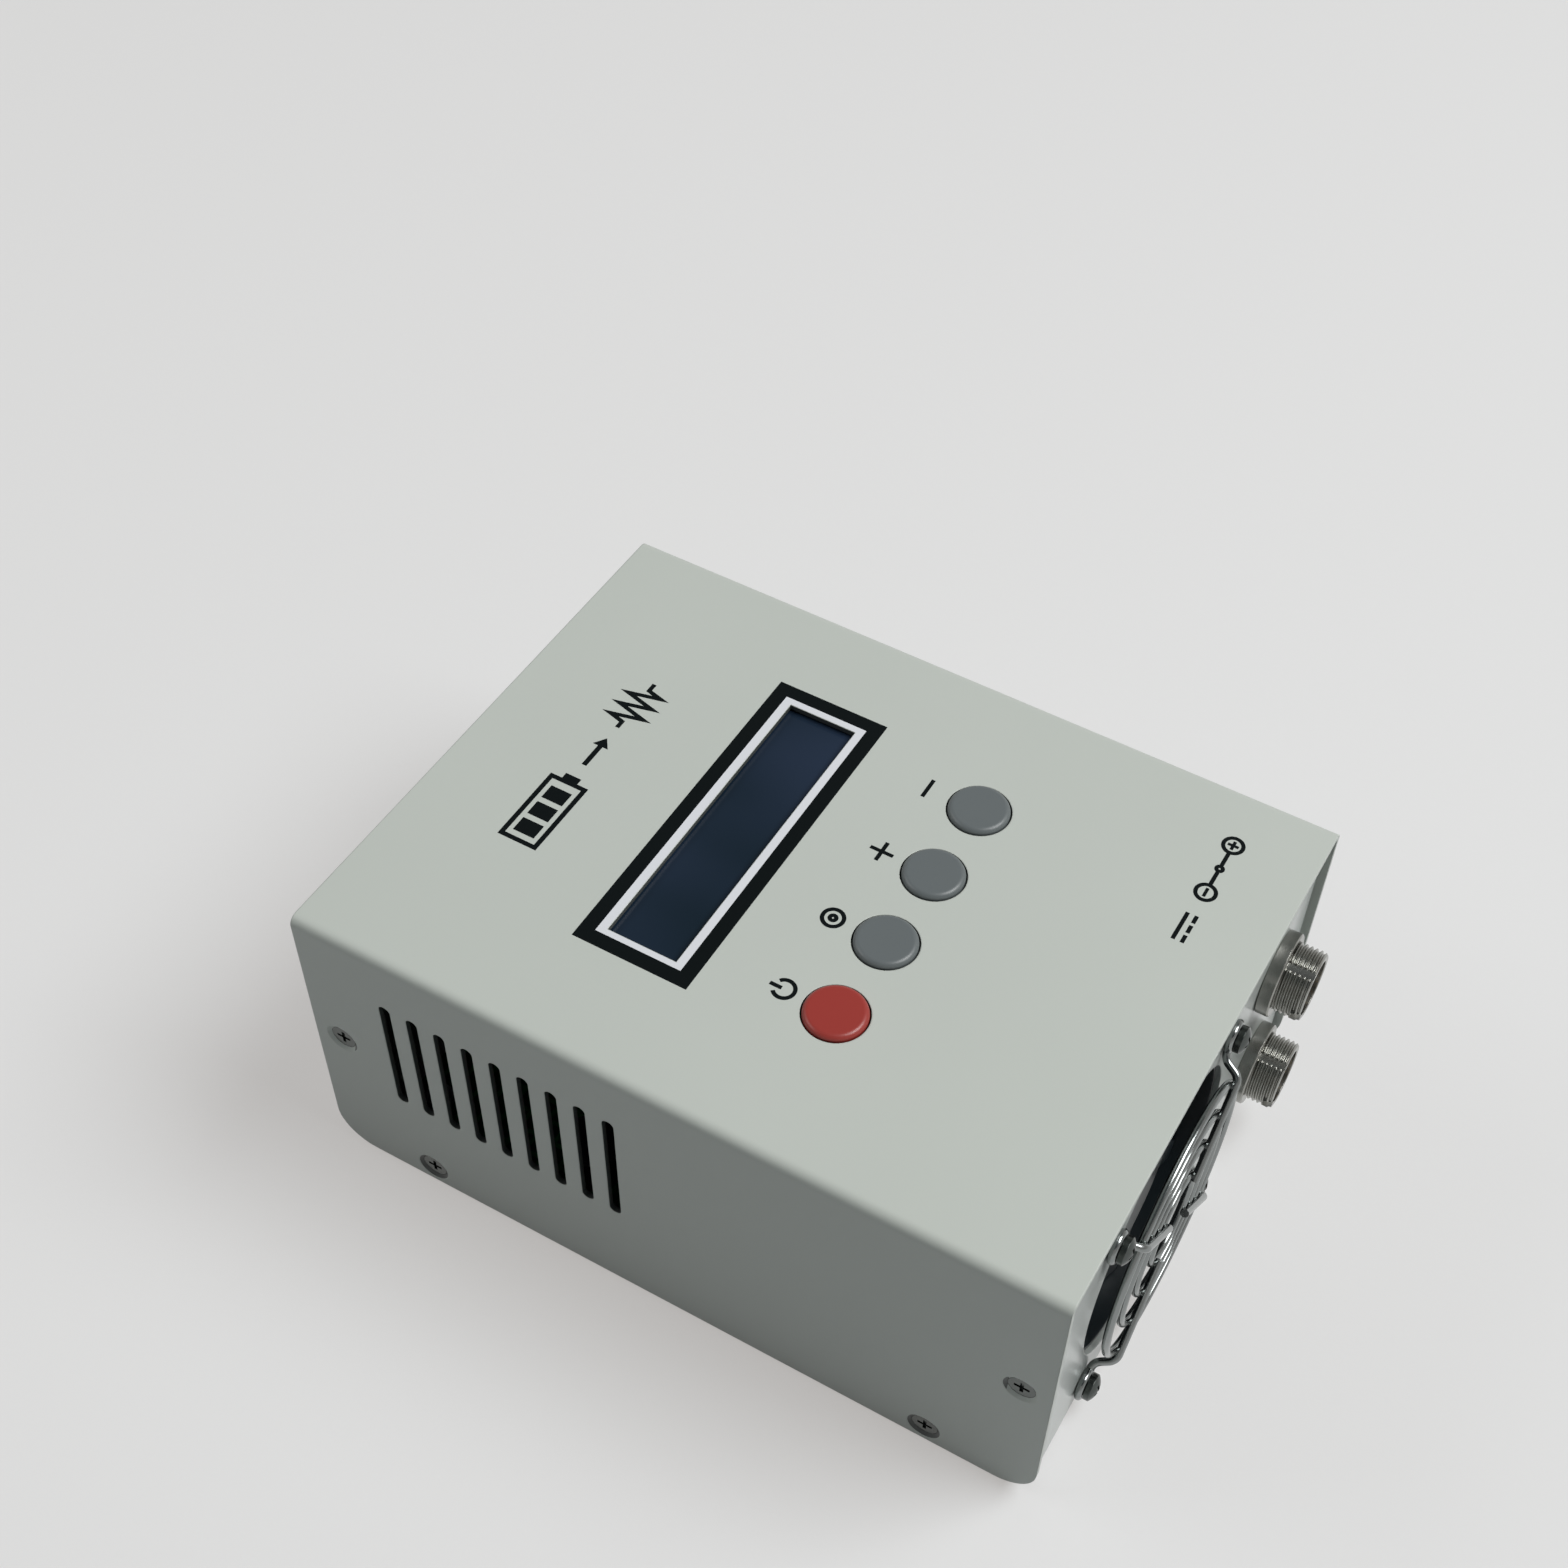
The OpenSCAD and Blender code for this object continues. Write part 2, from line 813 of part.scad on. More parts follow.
// Gaps between the struts that carry the motor's base in the duct
module fan_air_gaps() {
    difference() {
        circle(d = fan_bore, $fn = fine_fn);
        circle(d = motor_d);
        for (number = [0 : strut_count - 1])
            rotate([0, 0, (number + 0.5) * 360 / strut_count])
                translate([0, -strut_w / 2])
                    square([fan_bore, strut_w]);
    }
}

module fan_frame() {
    color(black)
    in_fan() {
        difference() {
            union() {
                for (z = [0, fan_depth - fan_flange_t])
                    translate([0, 0, z]) linear_extrude(fan_flange_t)
                        rounded_rect(fan_size, fan_size, fan_corner_r);
                cylinder(d = fan_barrel_d, h = fan_depth, $fn = fine_fn);
            }
            translate([0, 0, -cut]) cylinder(d = fan_bore, h = motor_z + cut, $fn = fine_fn);
            translate([0, 0, motor_z - cut]) linear_extrude(fan_depth - motor_z + 2 * cut) fan_air_gaps();
            translate([0, 0, -cut]) at_fan_holes() cylinder(d = fan_hole_d, h = fan_depth + 2 * cut);
        }
        translate([0, 0, tube_z]) ring(tube_d, bearing_d + 2 * fit, motor_z - tube_z + fit);
    }
}

// Hub cup with cambered blades; the shaft is held in its boss
module fan_rotor() {
    color(black)
    in_fan() {
        translate([0, 0, hub_z]) difference() {
            cylinder(d = motor_d, h = hub_end - hub_z);
            translate([0, 0, hub_wall]) cylinder(d = motor_d - 2 * skirt_t, h = hub_end);
            translate([0, 0, shaft_z - hub_z]) cylinder(d = shaft_d + fit, h = hub_end);
        }
        translate([0, 0, hub_z + hub_wall / 2])
            difference() {
                cylinder(d = rotor_boss_d, h = rotor_boss_end - hub_z - hub_wall / 2);
                translate([0, 0, shaft_z - hub_z - hub_wall / 2]) cylinder(d = shaft_d + fit, h = hub_end);
            }
        for (number = [0 : blade_count - 1])
            rotate([0, 0, number * 360 / blade_count]) fan_blade();
    }
}

// One blade: a cambered strip that leans back from its leading edge, cut to the hub and the tip circle
module fan_blade() {
    lean = atan2(blade_h, blade_reach);
    chord = sqrt(blade_h * blade_h + blade_reach * blade_reach);
    sagitta_r = sqrt(blade_camber_r * blade_camber_r - chord * chord / 4);
    difference() {
        intersection() {
            rotate([90, 0, 90]) linear_extrude(blade_tip_d / 2 + cut) intersection() {
                translate([-sagitta_r * sin(lean), blade_z + blade_h / 2 + sagitta_r * cos(lean)])
                    difference() {
                        circle(blade_camber_r + blade_t / 2);
                        circle(blade_camber_r - blade_t / 2);
                    }
                translate([-blade_reach / 2 - cut, blade_z]) square([blade_reach + 2 * cut, blade_h]);
            }
            cylinder(d = blade_tip_d, h = fan_depth, $fn = fine_fn);
        }
        cylinder(d = motor_d - skirt_t, h = fan_depth);
    }
}

module fan_shaft() {
    color(steel)
    in_fan() translate([0, 0, shaft_z]) cylinder(d = shaft_d, h = shaft_end - shaft_z);
}

module fan_magnet() {
    magnet_d = motor_d - 2 * skirt_t - 2 * fit;
    color([0.25, 0.25, 0.26])
    in_fan() translate([0, 0, magnet_z]) ring(magnet_d, magnet_d - 2 * magnet_t, magnet_h);
}

module fan_stator() {
    color([0.50, 0.51, 0.52])
    in_fan() translate([0, 0, stator_z]) linear_extrude(stator_h) difference() {
        union() {
            circle(d = stator_ring_d);
            for (number = [0 : pole_count - 1])
                rotate(number * 360 / pole_count) {
                    translate([0, -pole_w / 2]) square([stator_d / 2 - stator_tip_t / 2, pole_w]);
                    pole_tip();
                }
        }
        circle(d = tube_d + 2 * fit);
    }
}

// Curved tip of one stator pole
module pole_tip() {
    intersection() {
        difference() {
            circle(d = stator_d);
            circle(d = stator_d - 2 * stator_tip_t);
        }
        polygon([[0, 0], stator_d * [cos(pole_span / 2), -sin(pole_span / 2)],
            stator_d * [cos(pole_span / 2), sin(pole_span / 2)]]);
    }
}

module fan_coils() {
    coil_len = coil_r[1] - coil_r[0];
    color(copper)
    in_fan() for (number = [0 : pole_count - 1])
        rotate([0, 0, number * 360 / pole_count]) difference() {
            translate([coil_r[0], -pole_w / 2 - coil_t, stator_z - coil_t])
                cube([coil_len, pole_w + 2 * coil_t, stator_h + 2 * coil_t]);
            translate([coil_r[0] - cut, -pole_w / 2 - fit, stator_z - fit])
                cube([coil_len + 2 * cut, pole_w + 2 * fit, stator_h + 2 * fit]);
        }
}

module fan_bearing() {
    color(copper)
    in_fan() translate([0, 0, tube_z]) ring(bearing_d, shaft_d + 2 * fit, shaft_end - tube_z);
}

module fan_driver_board() {
    color(board_green)
    in_fan() translate([0, 0, motor_z - driver_t]) ring(driver_d, tube_d + 2 * fit, driver_t);
}

// Welded wire guard: rings behind four legs that end in loops under the fan screws
module fan_guard() {
    color(chrome)
    on_front(fan_x, fan_z) {
        for (number = [0 : guard_rings - 1])
            translate([0, 0, ring_z])
                wire_ring(guard_inner_r + number * (guard_outer_r - guard_inner_r) / (guard_rings - 1));
        for (turn = [45 : 90 : 315])
            rotate([0, 0, turn]) guard_leg();
    }
}

module wire_ring(r) {
    rotate_extrude($fn = fine_fn) translate([r, 0]) circle(wire_r, $fn = wire_fn);
}

// Part of a turn of wire in the XZ plane
module wire_bend(from_angle, sweep) {
    rotate([90, 0, 0]) rotate([0, 0, from_angle])
        rotate_extrude(angle = sweep) translate([leg_bend_r, 0]) circle(wire_r, $fn = wire_fn);
}

// Loop, lower bend, riser, upper bend and straight run; straight wire grips inside the bends
module guard_leg() {
    translate([fan_hole_pitch / sqrt(2), 0, loop_z]) wire_ring(loop_r);
    translate([leg_start, 0, loop_z + leg_bend_r]) {
        wire_bend(270 - leg_bend, leg_bend);
        rotate([0, leg_bend, 0]) translate([0, 0, -leg_bend_r]) rotate([0, -90, 0])
            translate([0, 0, -leg_grip]) cylinder(r = leg_r, h = riser_len + 2 * leg_grip, $fn = wire_fn);
    }
    translate([leg_step, 0, guard_rise - leg_bend_r]) wire_bend(90 - leg_bend, leg_bend);
    translate([leg_end, 0, guard_rise]) rotate([0, 90, 0])
        cylinder(r = leg_r, h = leg_step - leg_end + leg_grip, $fn = wire_fn);
}

module fan_screws() {
    head_z = 2 * loop_z + fit;
    shank_len = head_z + sheet + fan_depth + m3_nut_h + fan_screw_end;
    color(steel)
    on_front(fan_x, fan_z) at_fan_holes() translate([0, 0, head_z]) {
        difference() {
            intersection() {
                cylinder(d = fan_head_d, h = fan_head_h);
                translate([0, 0, fan_head_h - fan_dome_r]) sphere(fan_dome_r);
            }
            translate([0, 0, fan_head_h]) cross_recess();
        }
        translate([0, 0, -shank_len]) cylinder(d = m3_shank_d, h = shank_len + fit);
    }
}

module fan_nuts() {
    color(steel)
    on_front(fan_x, fan_z) at_fan_holes() translate([0, 0, -sheet - fan_depth - m3_nut_h])
        hex_nut(m3_nut_d, m3_bore_d, m3_nut_h);
}

module fan_lead() {
    run = board_gap + fan_plug_at[1] - fan_bend_r;
    drop = fan_lead_z - fan_bend_r - board_top - plug_h;
    color("firebrick")
    for (side = [-1, 1])
        translate([fan_plug_at[0] + side * fan_lead_gap / 2, fan_back, fan_lead_z])
            drop_lead(fan_lead_d, run, fan_bend_r, drop);
}

// Sockets

// Threaded shell with a flange outside the panel, a key notch in the rim and one flat
module socket_shell() {
    color(chrome)
    difference() {
        rotate_extrude() polygon([
            [socket_bore_d / 2, -socket_rear],
            [socket_rear_d / 2, -socket_rear],
            [socket_rear_d / 2, 0],
            [flange_d / 2, 0],
            [flange_d / 2, socket_flange_t],
            [thread_d / 2, socket_flange_t],
            [thread_d / 2, socket_out - rim_chamfer],
            [thread_d / 2 - rim_chamfer, socket_out],
            [socket_bore_d / 2, socket_out]
        ]);
        rotate([0, 0, flat_turn]) translate([thread_d / 2 - flat_depth, -thread_d / 2, socket_flange_t])
            cube([thread_d, thread_d, socket_out]);
        rotate([0, 0, notch_turn]) translate([0, -notch_w / 2, socket_out - notch_depth])
            cube([thread_d, notch_w, socket_out]);
    }
}

module upper_shell() { on_front(socket_spots[0][0], socket_spots[0][1]) socket_shell(); }
module lower_shell() { on_front(socket_spots[1][0], socket_spots[1][1]) socket_shell(); }

module socket_inserts() {
    color(black)
    at_sockets() translate([0, 0, -socket_rear]) difference() {
        cylinder(d = socket_bore_d - 2 * fit, h = socket_rear + insert_face);
        translate([0, 0, -cut])
            at_pins() cylinder(d = pin_d + 2 * fit, h = socket_rear + insert_face + 2 * cut);
    }
}

module socket_pins() {
    color("gold")
    at_sockets() at_pins() translate([0, 0, -pin_tail]) cylinder(d = pin_d, h = pin_tail + pin_tip);
}

module socket_washers() {
    color(steel)
    at_sockets() translate([0, 0, -sheet - washer_t]) ring(washer_d, socket_rear_d + 2 * slack, washer_t);
}

module socket_nuts() {
    color(steel)
    at_sockets() translate([0, 0, -sheet - washer_t - socket_nut_t])
        hex_nut(socket_nut_d, socket_rear_d + 2 * fit, socket_nut_t);
}

// Thick pair from the upper socket's side pins to the main board
module load_leads() {
    start_y = pin_tail - panel_y;
    color("firebrick")
    for (side = [-1, 1])
        translate([socket_spots[0][0] + side * pin_ring_r, start_y, socket_spots[0][1]])
            drop_lead(load_lead_d, board_front + load_land - load_bend_r - start_y, load_bend_r,
                socket_spots[0][1] - load_bend_r - board_top);
}

// Thin pair from the lower socket's upper and lower pins to the main board
module supply_leads() {
    start_y = pin_tail - panel_y;
    color("firebrick")
    for (number = [0, 1]) {
        lead_z = socket_spots[1][1] + (1 - 2 * number) * pin_ring_r;
        bend_r = supply_bend_r[number];
        translate([socket_spots[1][0], start_y, lead_z])
            drop_lead(supply_lead_d, board_front + supply_land[number] - bend_r - start_y, bend_r,
                lead_z - bend_r - board_top);
    }
}

// Main board and what it carries

module main_board() {
    color(board_green)
    difference() {
        translate([0, board_y, board_z]) block([board_w, board_d, board_t]);
        at_board_holes() translate([0, 0, board_z - cut]) cylinder(d = m3_hole_d, h = board_t + 2 * cut);
    }
}

module standoffs() {
    color(steel)
    at_board_holes() difference() {
        union() {
            translate([0, 0, standoff_root_lift]) cylinder(d = standoff_root_d, h = sheet);
            translate([0, 0, sheet]) cylinder(d = standoff_d, h = standoff_h, $fn = 6);
        }
        translate([0, 0, sheet + standoff_floor]) cylinder(d = m3_bore_d, h = standoff_h);
    }
}

module board_screws() {
    color(steel)
    at_board_holes() translate([0, 0, board_top]) pan_screw(board_t + standoff_h - standoff_floor - slack);
}

module board_sockets() {
    color("ivory") {
        on_board(fan_plug_at) block(fan_plug_size);
        on_board(lcd_plug_at) block(lcd_plug_size);
        on_board(key_plug_at) block(key_plug_size);
    }
}

// Extruded aluminium: an upright base with level fins along the air stream
module heat_sink() {
    fin_pitch = (sink_top - fin_floor - fin_t) / (fin_count - 1);
    color([0.78, 0.79, 0.80])
    difference() {
        translate([0, sink_y + sink_len, 0]) rotate([90, 0, 0]) linear_extrude(sink_len) {
            translate([sink_x[1] - sink_base_t, board_top]) square([sink_base_t, sink_top - board_top]);
            for (number = [0 : fin_count - 1])
                translate([sink_x[0], fin_floor + number * fin_pitch])
                    square([sink_x[1] - sink_x[0] - sink_base_t / 2, fin_t]);
        }
        at_devices() translate([sink_x[1] - sink_base_t + cut, 0, device_hole_z])
            rotate([0, 90, 0]) cylinder(d = m3_bore_d, h = sink_base_t);
    }
}

module power_transistors() {
    color(black)
    at_devices() difference() {
        union() {
            translate([device_x, -device_size[1] / 2, device_z]) cube(device_size);
            for (number = [-1, 0, 1])
                translate([device_x + device_size[0] / 2, number * leg_gap - leg_size[1] / 2, board_top])
                    cube([leg_size[0], leg_size[1], device_z - board_top + leg_root]);
        }
        translate([device_x - cut, 0, device_hole_z])
            rotate([0, 90, 0]) cylinder(d = m3_hole_d, h = device_size[0] + 2 * cut);
    }
}

module transistor_pads() {
    color("lightgrey")
    at_devices() difference() {
        translate([sink_x[1], -device_size[1] / 2 - pad_rim, device_z - pad_rim])
            cube([pad_t, device_size[1] + 2 * pad_rim, device_size[2] + 2 * pad_rim]);
        translate([sink_x[1] - cut, 0, device_hole_z])
            rotate([0, 90, 0]) cylinder(d = m3_hole_d, h = pad_t + 2 * cut);
    }
}

module transistor_screws() {
    color(steel)
    at_devices() translate([device_x + device_size[0], 0, device_hole_z])
        rotate([0, 90, 0]) pan_screw(device_size[0] + pad_t + sink_base_t - 2 * cut);
}

module filter_capacitors() {
    color([0.10, 0.14, 0.30])
    for (spot = capacitor_at)
        from_side(1, spot) cylinder(d = capacitor_d, h = capacitor_h);
}

module power_inductor() {
    color(copper)
    from_side(1, inductor_at) translate([0, 0, inductor_core_r + fit])
        rotate_extrude() translate([inductor_r, 0]) circle(inductor_core_r);
}

module relay() {
    color([0.15, 0.30, 0.62])
    from_side(1, relay_at) block(relay_size);
}

// Bent resistance wire that carries the measured current
module current_shunt() {
    color(copper)
    from_side(1, shunt_at) {
        for (side = [-1, 1])
            translate([0, side * shunt_bend_r, 0]) cylinder(d = shunt_d, h = shunt_leg);
        translate([0, 0, shunt_leg]) rotate([90, 0, 90])
            rotate_extrude(angle = 180) translate([shunt_bend_r, 0]) circle(d = shunt_d);
    }
}

module control_chip() {
    color(black)
    from_side(-1, chip_at) block(chip_size);
}

module buzzer() {
    color(black)
    from_side(-1, buzzer_at) difference() {
        cylinder(d = buzzer_d, h = buzzer_h);
        translate([0, 0, buzzer_h - cut]) cylinder(d = buzzer_hole_d, h = 2 * cut);
    }
}

cover();
chassis();
clinch_nuts();
cover_screws();
cover_studs();
stud_nuts();
board_spacers();
lcd_bezel();
lcd_glass();
lcd_backlight();
lcd_board();
lcd_header();
lcd_cable();
on_button();
set_button();
up_button();
down_button();
on_stem();
set_stem();
up_stem();
down_stem();
key_switches();
switch_domes();
key_board();
key_cable();
fan_frame();
fan_rotor();
fan_shaft();
fan_magnet();
fan_stator();
fan_coils();
fan_bearing();
fan_driver_board();
fan_guard();
fan_screws();
fan_nuts();
fan_lead();
upper_shell();
lower_shell();
socket_inserts();
socket_pins();
socket_washers();
socket_nuts();
load_leads();
supply_leads();
main_board();
standoffs();
board_screws();
board_sockets();
heat_sink();
power_transistors();
transistor_pads();
transistor_screws();
filter_capacitors();
power_inductor();
relay();
current_shunt();
control_chip();
buzzer();
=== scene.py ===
"""Looks of a fan-cooled DC electronic load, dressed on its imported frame.

Lengths are in metres, in the frame's own axes: X to the right, Y to the back and Z up.
"""
import json
import logging
import math
from dataclasses import dataclass
from enum import Enum
from typing import Iterable, Optional, Sequence

import bmesh
import bpy
from mathutils import Matrix, Vector


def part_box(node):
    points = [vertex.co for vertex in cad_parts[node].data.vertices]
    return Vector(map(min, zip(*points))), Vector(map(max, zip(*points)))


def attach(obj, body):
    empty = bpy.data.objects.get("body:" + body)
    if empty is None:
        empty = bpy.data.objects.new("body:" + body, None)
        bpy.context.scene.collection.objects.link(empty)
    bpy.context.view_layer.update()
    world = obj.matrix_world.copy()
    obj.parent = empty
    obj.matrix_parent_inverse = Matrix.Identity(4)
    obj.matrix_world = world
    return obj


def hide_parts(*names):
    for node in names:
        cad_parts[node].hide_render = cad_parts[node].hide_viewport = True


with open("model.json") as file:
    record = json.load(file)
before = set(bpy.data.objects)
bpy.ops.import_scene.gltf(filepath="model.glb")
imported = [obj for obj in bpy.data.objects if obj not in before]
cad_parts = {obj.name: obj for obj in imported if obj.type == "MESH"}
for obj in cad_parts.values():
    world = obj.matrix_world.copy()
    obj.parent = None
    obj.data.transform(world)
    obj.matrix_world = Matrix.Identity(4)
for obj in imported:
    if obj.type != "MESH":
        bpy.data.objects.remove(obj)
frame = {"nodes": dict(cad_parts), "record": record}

LOG = logging.getLogger("electronic_load")
IMAGE_PX = 1568
MM = 0.001
FULL_TURN = 360
QUARTER_TURN = 90

# The display curve of one channel: straight under a knee, then a power
DISPLAY_WHITE = 255
CURVE_KNEE = 0.04045
CURVE_SLOPE = 12.92
CURVE_SHIFT = 0.055
CURVE_POWER = 2.4
# Distance under which points of one mesh become one, and the sharpest bend that is shaded smooth
MERGE_DISTANCE = 0.0005 * MM
SMOOTH_ANGLE = math.radians(32)
# Rays that look for a soft edge round each shaded point
EDGE_SAMPLES = 6
# Length of one wave and height of one row of the procedural textures, at a scale of 1
WAVE_LENGTH = 0.314
BRICK_ROW = 0.25

Colour = tuple[float, float, float]
Place = tuple[float, float, float]
Point = tuple[float, float]


def linear(red: int, green: int, blue: int) -> Colour:
    """Turn display values from 0 to 255 into scene-linear colour.

    Args:
        red: Red value.
        green: Green value.
        blue: Blue value.

    Returns:
        The colour, each channel from 0 to 1.
    """
    def channel(value: int) -> float:
        """Undo the display curve of one channel.

        Args:
            value: Display value of the channel.

        Returns:
            The channel from 0 to 1.
        """
        share = value / DISPLAY_WHITE
        curved = ((share + CURVE_SHIFT) / (1 + CURVE_SHIFT)) ** CURVE_POWER
        return share / CURVE_SLOPE if share <= CURVE_KNEE else curved
    return channel(red), channel(green), channel(blue)


class Axis(Enum):
    """A direction of the frame, as an output of a Separate XYZ node."""

    X = 0
    Y = 1
    Z = 2


class Graph:
    """One node material under construction."""

    def __init__(self, name: str) -> None:
        """Start an empty material.

        Args:
            name: Name of the material.
        """
        self.material = bpy.data.materials.new(name)
        self.material.use_nodes = True
        self.nodes = self.material.node_tree.nodes
        self.links = self.material.node_tree.links
        self.shader = self.nodes["Principled BSDF"]
        self.place = self.add("ShaderNodeTexCoord").outputs["Object"]

    def add(self, kind: str, **values: object) -> bpy.types.Node:
        """Add a node and fill its inputs.

        Args:
            kind: Node type.
            values: Input values or sockets, with underscores for spaces in names.

        Returns:
            The new node.
        """
        node = self.nodes.new(kind)
        for key, value in values.items():
            self.feed(node.inputs[key.replace("_", " ")], value)
        return node

    def feed(self, socket: bpy.types.NodeSocket, value: object) -> None:
        """Link a socket into an input, or set the input's own value.

        Args:
            socket: Input to fill.
            value: Output socket, number, vector or colour.
        """
        if isinstance(value, bpy.types.NodeSocket):
            self.links.new(value, socket)
        elif isinstance(value, tuple) and len(value) == 3 and socket.type == "RGBA":
            socket.default_value = (*value, 1.0)
        else:
            socket.default_value = value

    def noise(self, size: float, detail: float = 2.0,
              stretch: Optional[Vector] = None) -> bpy.types.NodeSocket:
        """Make cloudy values from 0 to 1.

        Args:
            size: Width of one cloud in metres.
            detail: Number of finer layers.
            stretch: Scale of each axis before the clouds are laid out.

        Returns:
            The value output.
        """
        place = self.place
        if stretch is not None:
            place = self.add("ShaderNodeMapping", Vector=place, Scale=stretch).outputs["Vector"]
        return self.add("ShaderNodeTexNoise", Vector=place, Scale=1 / size, Detail=detail).outputs["Fac"]

    def span(self, value: bpy.types.NodeSocket, low: float, high: float) -> bpy.types.NodeSocket:
        """Map a value from 0 to 1 onto another range."""
        return self.add("ShaderNodeMapRange", Value=value, To_Min=low, To_Max=high).outputs["Result"]

    def blend(self, factor: object, first: object, second: object) -> bpy.types.NodeSocket:
        """Mix two colours.

        Args:
            factor: Share of the second colour.
            first: Colour or socket at a share of 0.
            second: Colour or socket at a share of 1.

        Returns:
            The colour output.
        """
        node = self.nodes.new("ShaderNodeMix")
        node.data_type = "RGBA"
        colour_inputs = [socket for socket in node.inputs if socket.type == "RGBA"]
        self.feed(node.inputs[0], factor)
        self.feed(colour_inputs[0], first)
        self.feed(colour_inputs[1], second)
        return next(socket for socket in node.outputs if socket.type == "RGBA")

    def combine(self, step: str, first: object, second: object = 0.0) -> bpy.types.NodeSocket:
        """Work out one step of arithmetic.

        Args:
            step: Operation of a Math node.
            first: First value or socket.
            second: Second value or socket.

        Returns:
            The value output.
        """
        node = self.nodes.new("ShaderNodeMath")
        node.operation = step
        self.feed(node.inputs[0], first)
        self.feed(node.inputs[1], second)
        return node.outputs[0]

    def along(self, axis: Axis) -> bpy.types.NodeSocket:
        """One coordinate of the shaded place, in metres."""
        return self.add("ShaderNodeSeparateXYZ", Vector=self.place).outputs[axis.value]

    def above(self, axis: Axis, level: float) -> bpy.types.NodeSocket:
        """Give 1 where a coordinate is above a level in metres, else 0."""
        return self.combine("GREATER_THAN", self.along(axis), level)

    def within(self, axis: Axis, reach: float) -> bpy.types.NodeSocket:
        """Give 1 where a coordinate is nearer to the origin than a reach in metres, else 0."""
        return self.combine("LESS_THAN", self.combine("ABSOLUTE", self.along(axis)), reach)

    def relief(self, height: bpy.types.NodeSocket, depth: float, strength: float, edge: float) -> None:
        """Give the surface a fine relief and soft edges.

        Args:
            height: Relief values from 0 to 1.
            depth: Depth of the relief in metres.
            strength: Share of the relief that shows.
            edge: Radius of the edges in metres.
        """
        soft = self.add("ShaderNodeBevel", Radius=edge)
        soft.samples = EDGE_SAMPLES
        bump = self.add("ShaderNodeBump", Strength=strength, Distance=depth, Height=height,
                        Normal=soft.outputs["Normal"])
        self.links.new(bump.outputs["Normal"], self.shader.inputs["Normal"])

    def surface(self, **values: object) -> None:
        """Fill inputs of the surface shader."""
        for key, value in values.items():
            self.feed(self.shader.inputs[key.replace("_", " ")], value)

    def base(self) -> bpy.types.NodeSocket:
        """The colour that the surface has so far."""
        return self.shader.inputs["Base Color"].links[0].from_socket


@dataclass(frozen=True)
class Finish:
    """A finish with a slight change of tone and a fine grain."""

    name: str
    colour: Colour
    roughness: float = 0.5
    metallic: float = 0.0
    tone: float = 0.06
    tone_size: float = 30 * MM
    rough_spread: float = 0.08
    grain_size: float = 0.8 * MM
    grain_depth: float = 0.03 * MM
    grain_strength: float = 0.4
    edge: float = 0.2 * MM
    coat: float = 0.0
    coat_roughness: float = 0.1
    shine: float = 0.5

    def material(self) -> bpy.types.Material:
        """Build the material, unless it exists already.

        Returns:
            The material.
        """
        name = self.name + "_finish"
        found = bpy.data.materials.get(name)
        if found is not None:
            return found
        graph = Graph(name)
        self.paint(graph)
        return graph.material

    def shade(self, share: float) -> Colour:
        """The finish's colour, lighter or darker by a share."""
        return tuple(min(1.0, channel * (1 + share)) for channel in self.colour)

    def paint(self, graph: Graph) -> None:
        """Lay the finish into an empty material.

        Args:
            graph: Material under construction.
        """
        cloud = graph.noise(self.tone_size)
        smooth, rough = (self.roughness * (1 + way * self.rough_spread) for way in (-1, 1))
        graph.surface(
            Base_Color=graph.blend(cloud, self.shade(-self.tone), self.shade(self.tone)),
            Roughness=graph.span(cloud, smooth, min(1.0, rough)),
            Metallic=self.metallic,
            Specular_IOR_Level=self.shine,
            Coat_Weight=self.coat,
            Coat_Roughness=self.coat_roughness,
        )
        graph.relief(graph.noise(self.grain_size), self.grain_depth, self.grain_strength, self.edge)


@dataclass(frozen=True)
class BrushedFinish(Finish):
    """Metal with fine lines along one axis."""

    along: Axis = Axis.Y
    line_stretch: float = 0.03
    line_detail: float = 3.0
    rough_spread: float = 0.2

    def paint(self, graph: Graph) -> None:
        """Lay the finish into an empty material.

        Args:
            graph: Material under construction.
        """
        stretch = Vector((1.0, 1.0, 1.0))
        stretch[self.along.value] = self.line_stretch
        lines = graph.noise(self.grain_size, self.line_detail, stretch)
        smooth, rough = (self.roughness * (1 + way * self.rough_spread) for way in (-1, 1))
        graph.surface(
            Base_Color=graph.blend(lines, self.shade(-self.tone), self.shade(self.tone)),
            Roughness=graph.span(lines, smooth, rough),
            Metallic=self.metallic,
        )
        graph.relief(lines, self.grain_depth, self.grain_strength, self.edge)


@dataclass(frozen=True)
class SplitFinish(Finish):
    """Two finishes in one piece, on either side of a level."""

    axis: Axis = Axis.X
    level: float = 0.0
    upper_colour: Colour = (0.5, 0.5, 0.5)
    upper_metallic: float = 0.0

    def paint(self, graph: Graph) -> None:
        """Lay the finish into an empty material.

        Args:
            graph: Material under construction.
        """
        super().paint(graph)
        side = graph.above(self.axis, self.level)
        graph.surface(
            Base_Color=graph.blend(side, graph.base(), self.upper_colour),
            Metallic=graph.span(side, self.metallic, self.upper_metallic),
        )


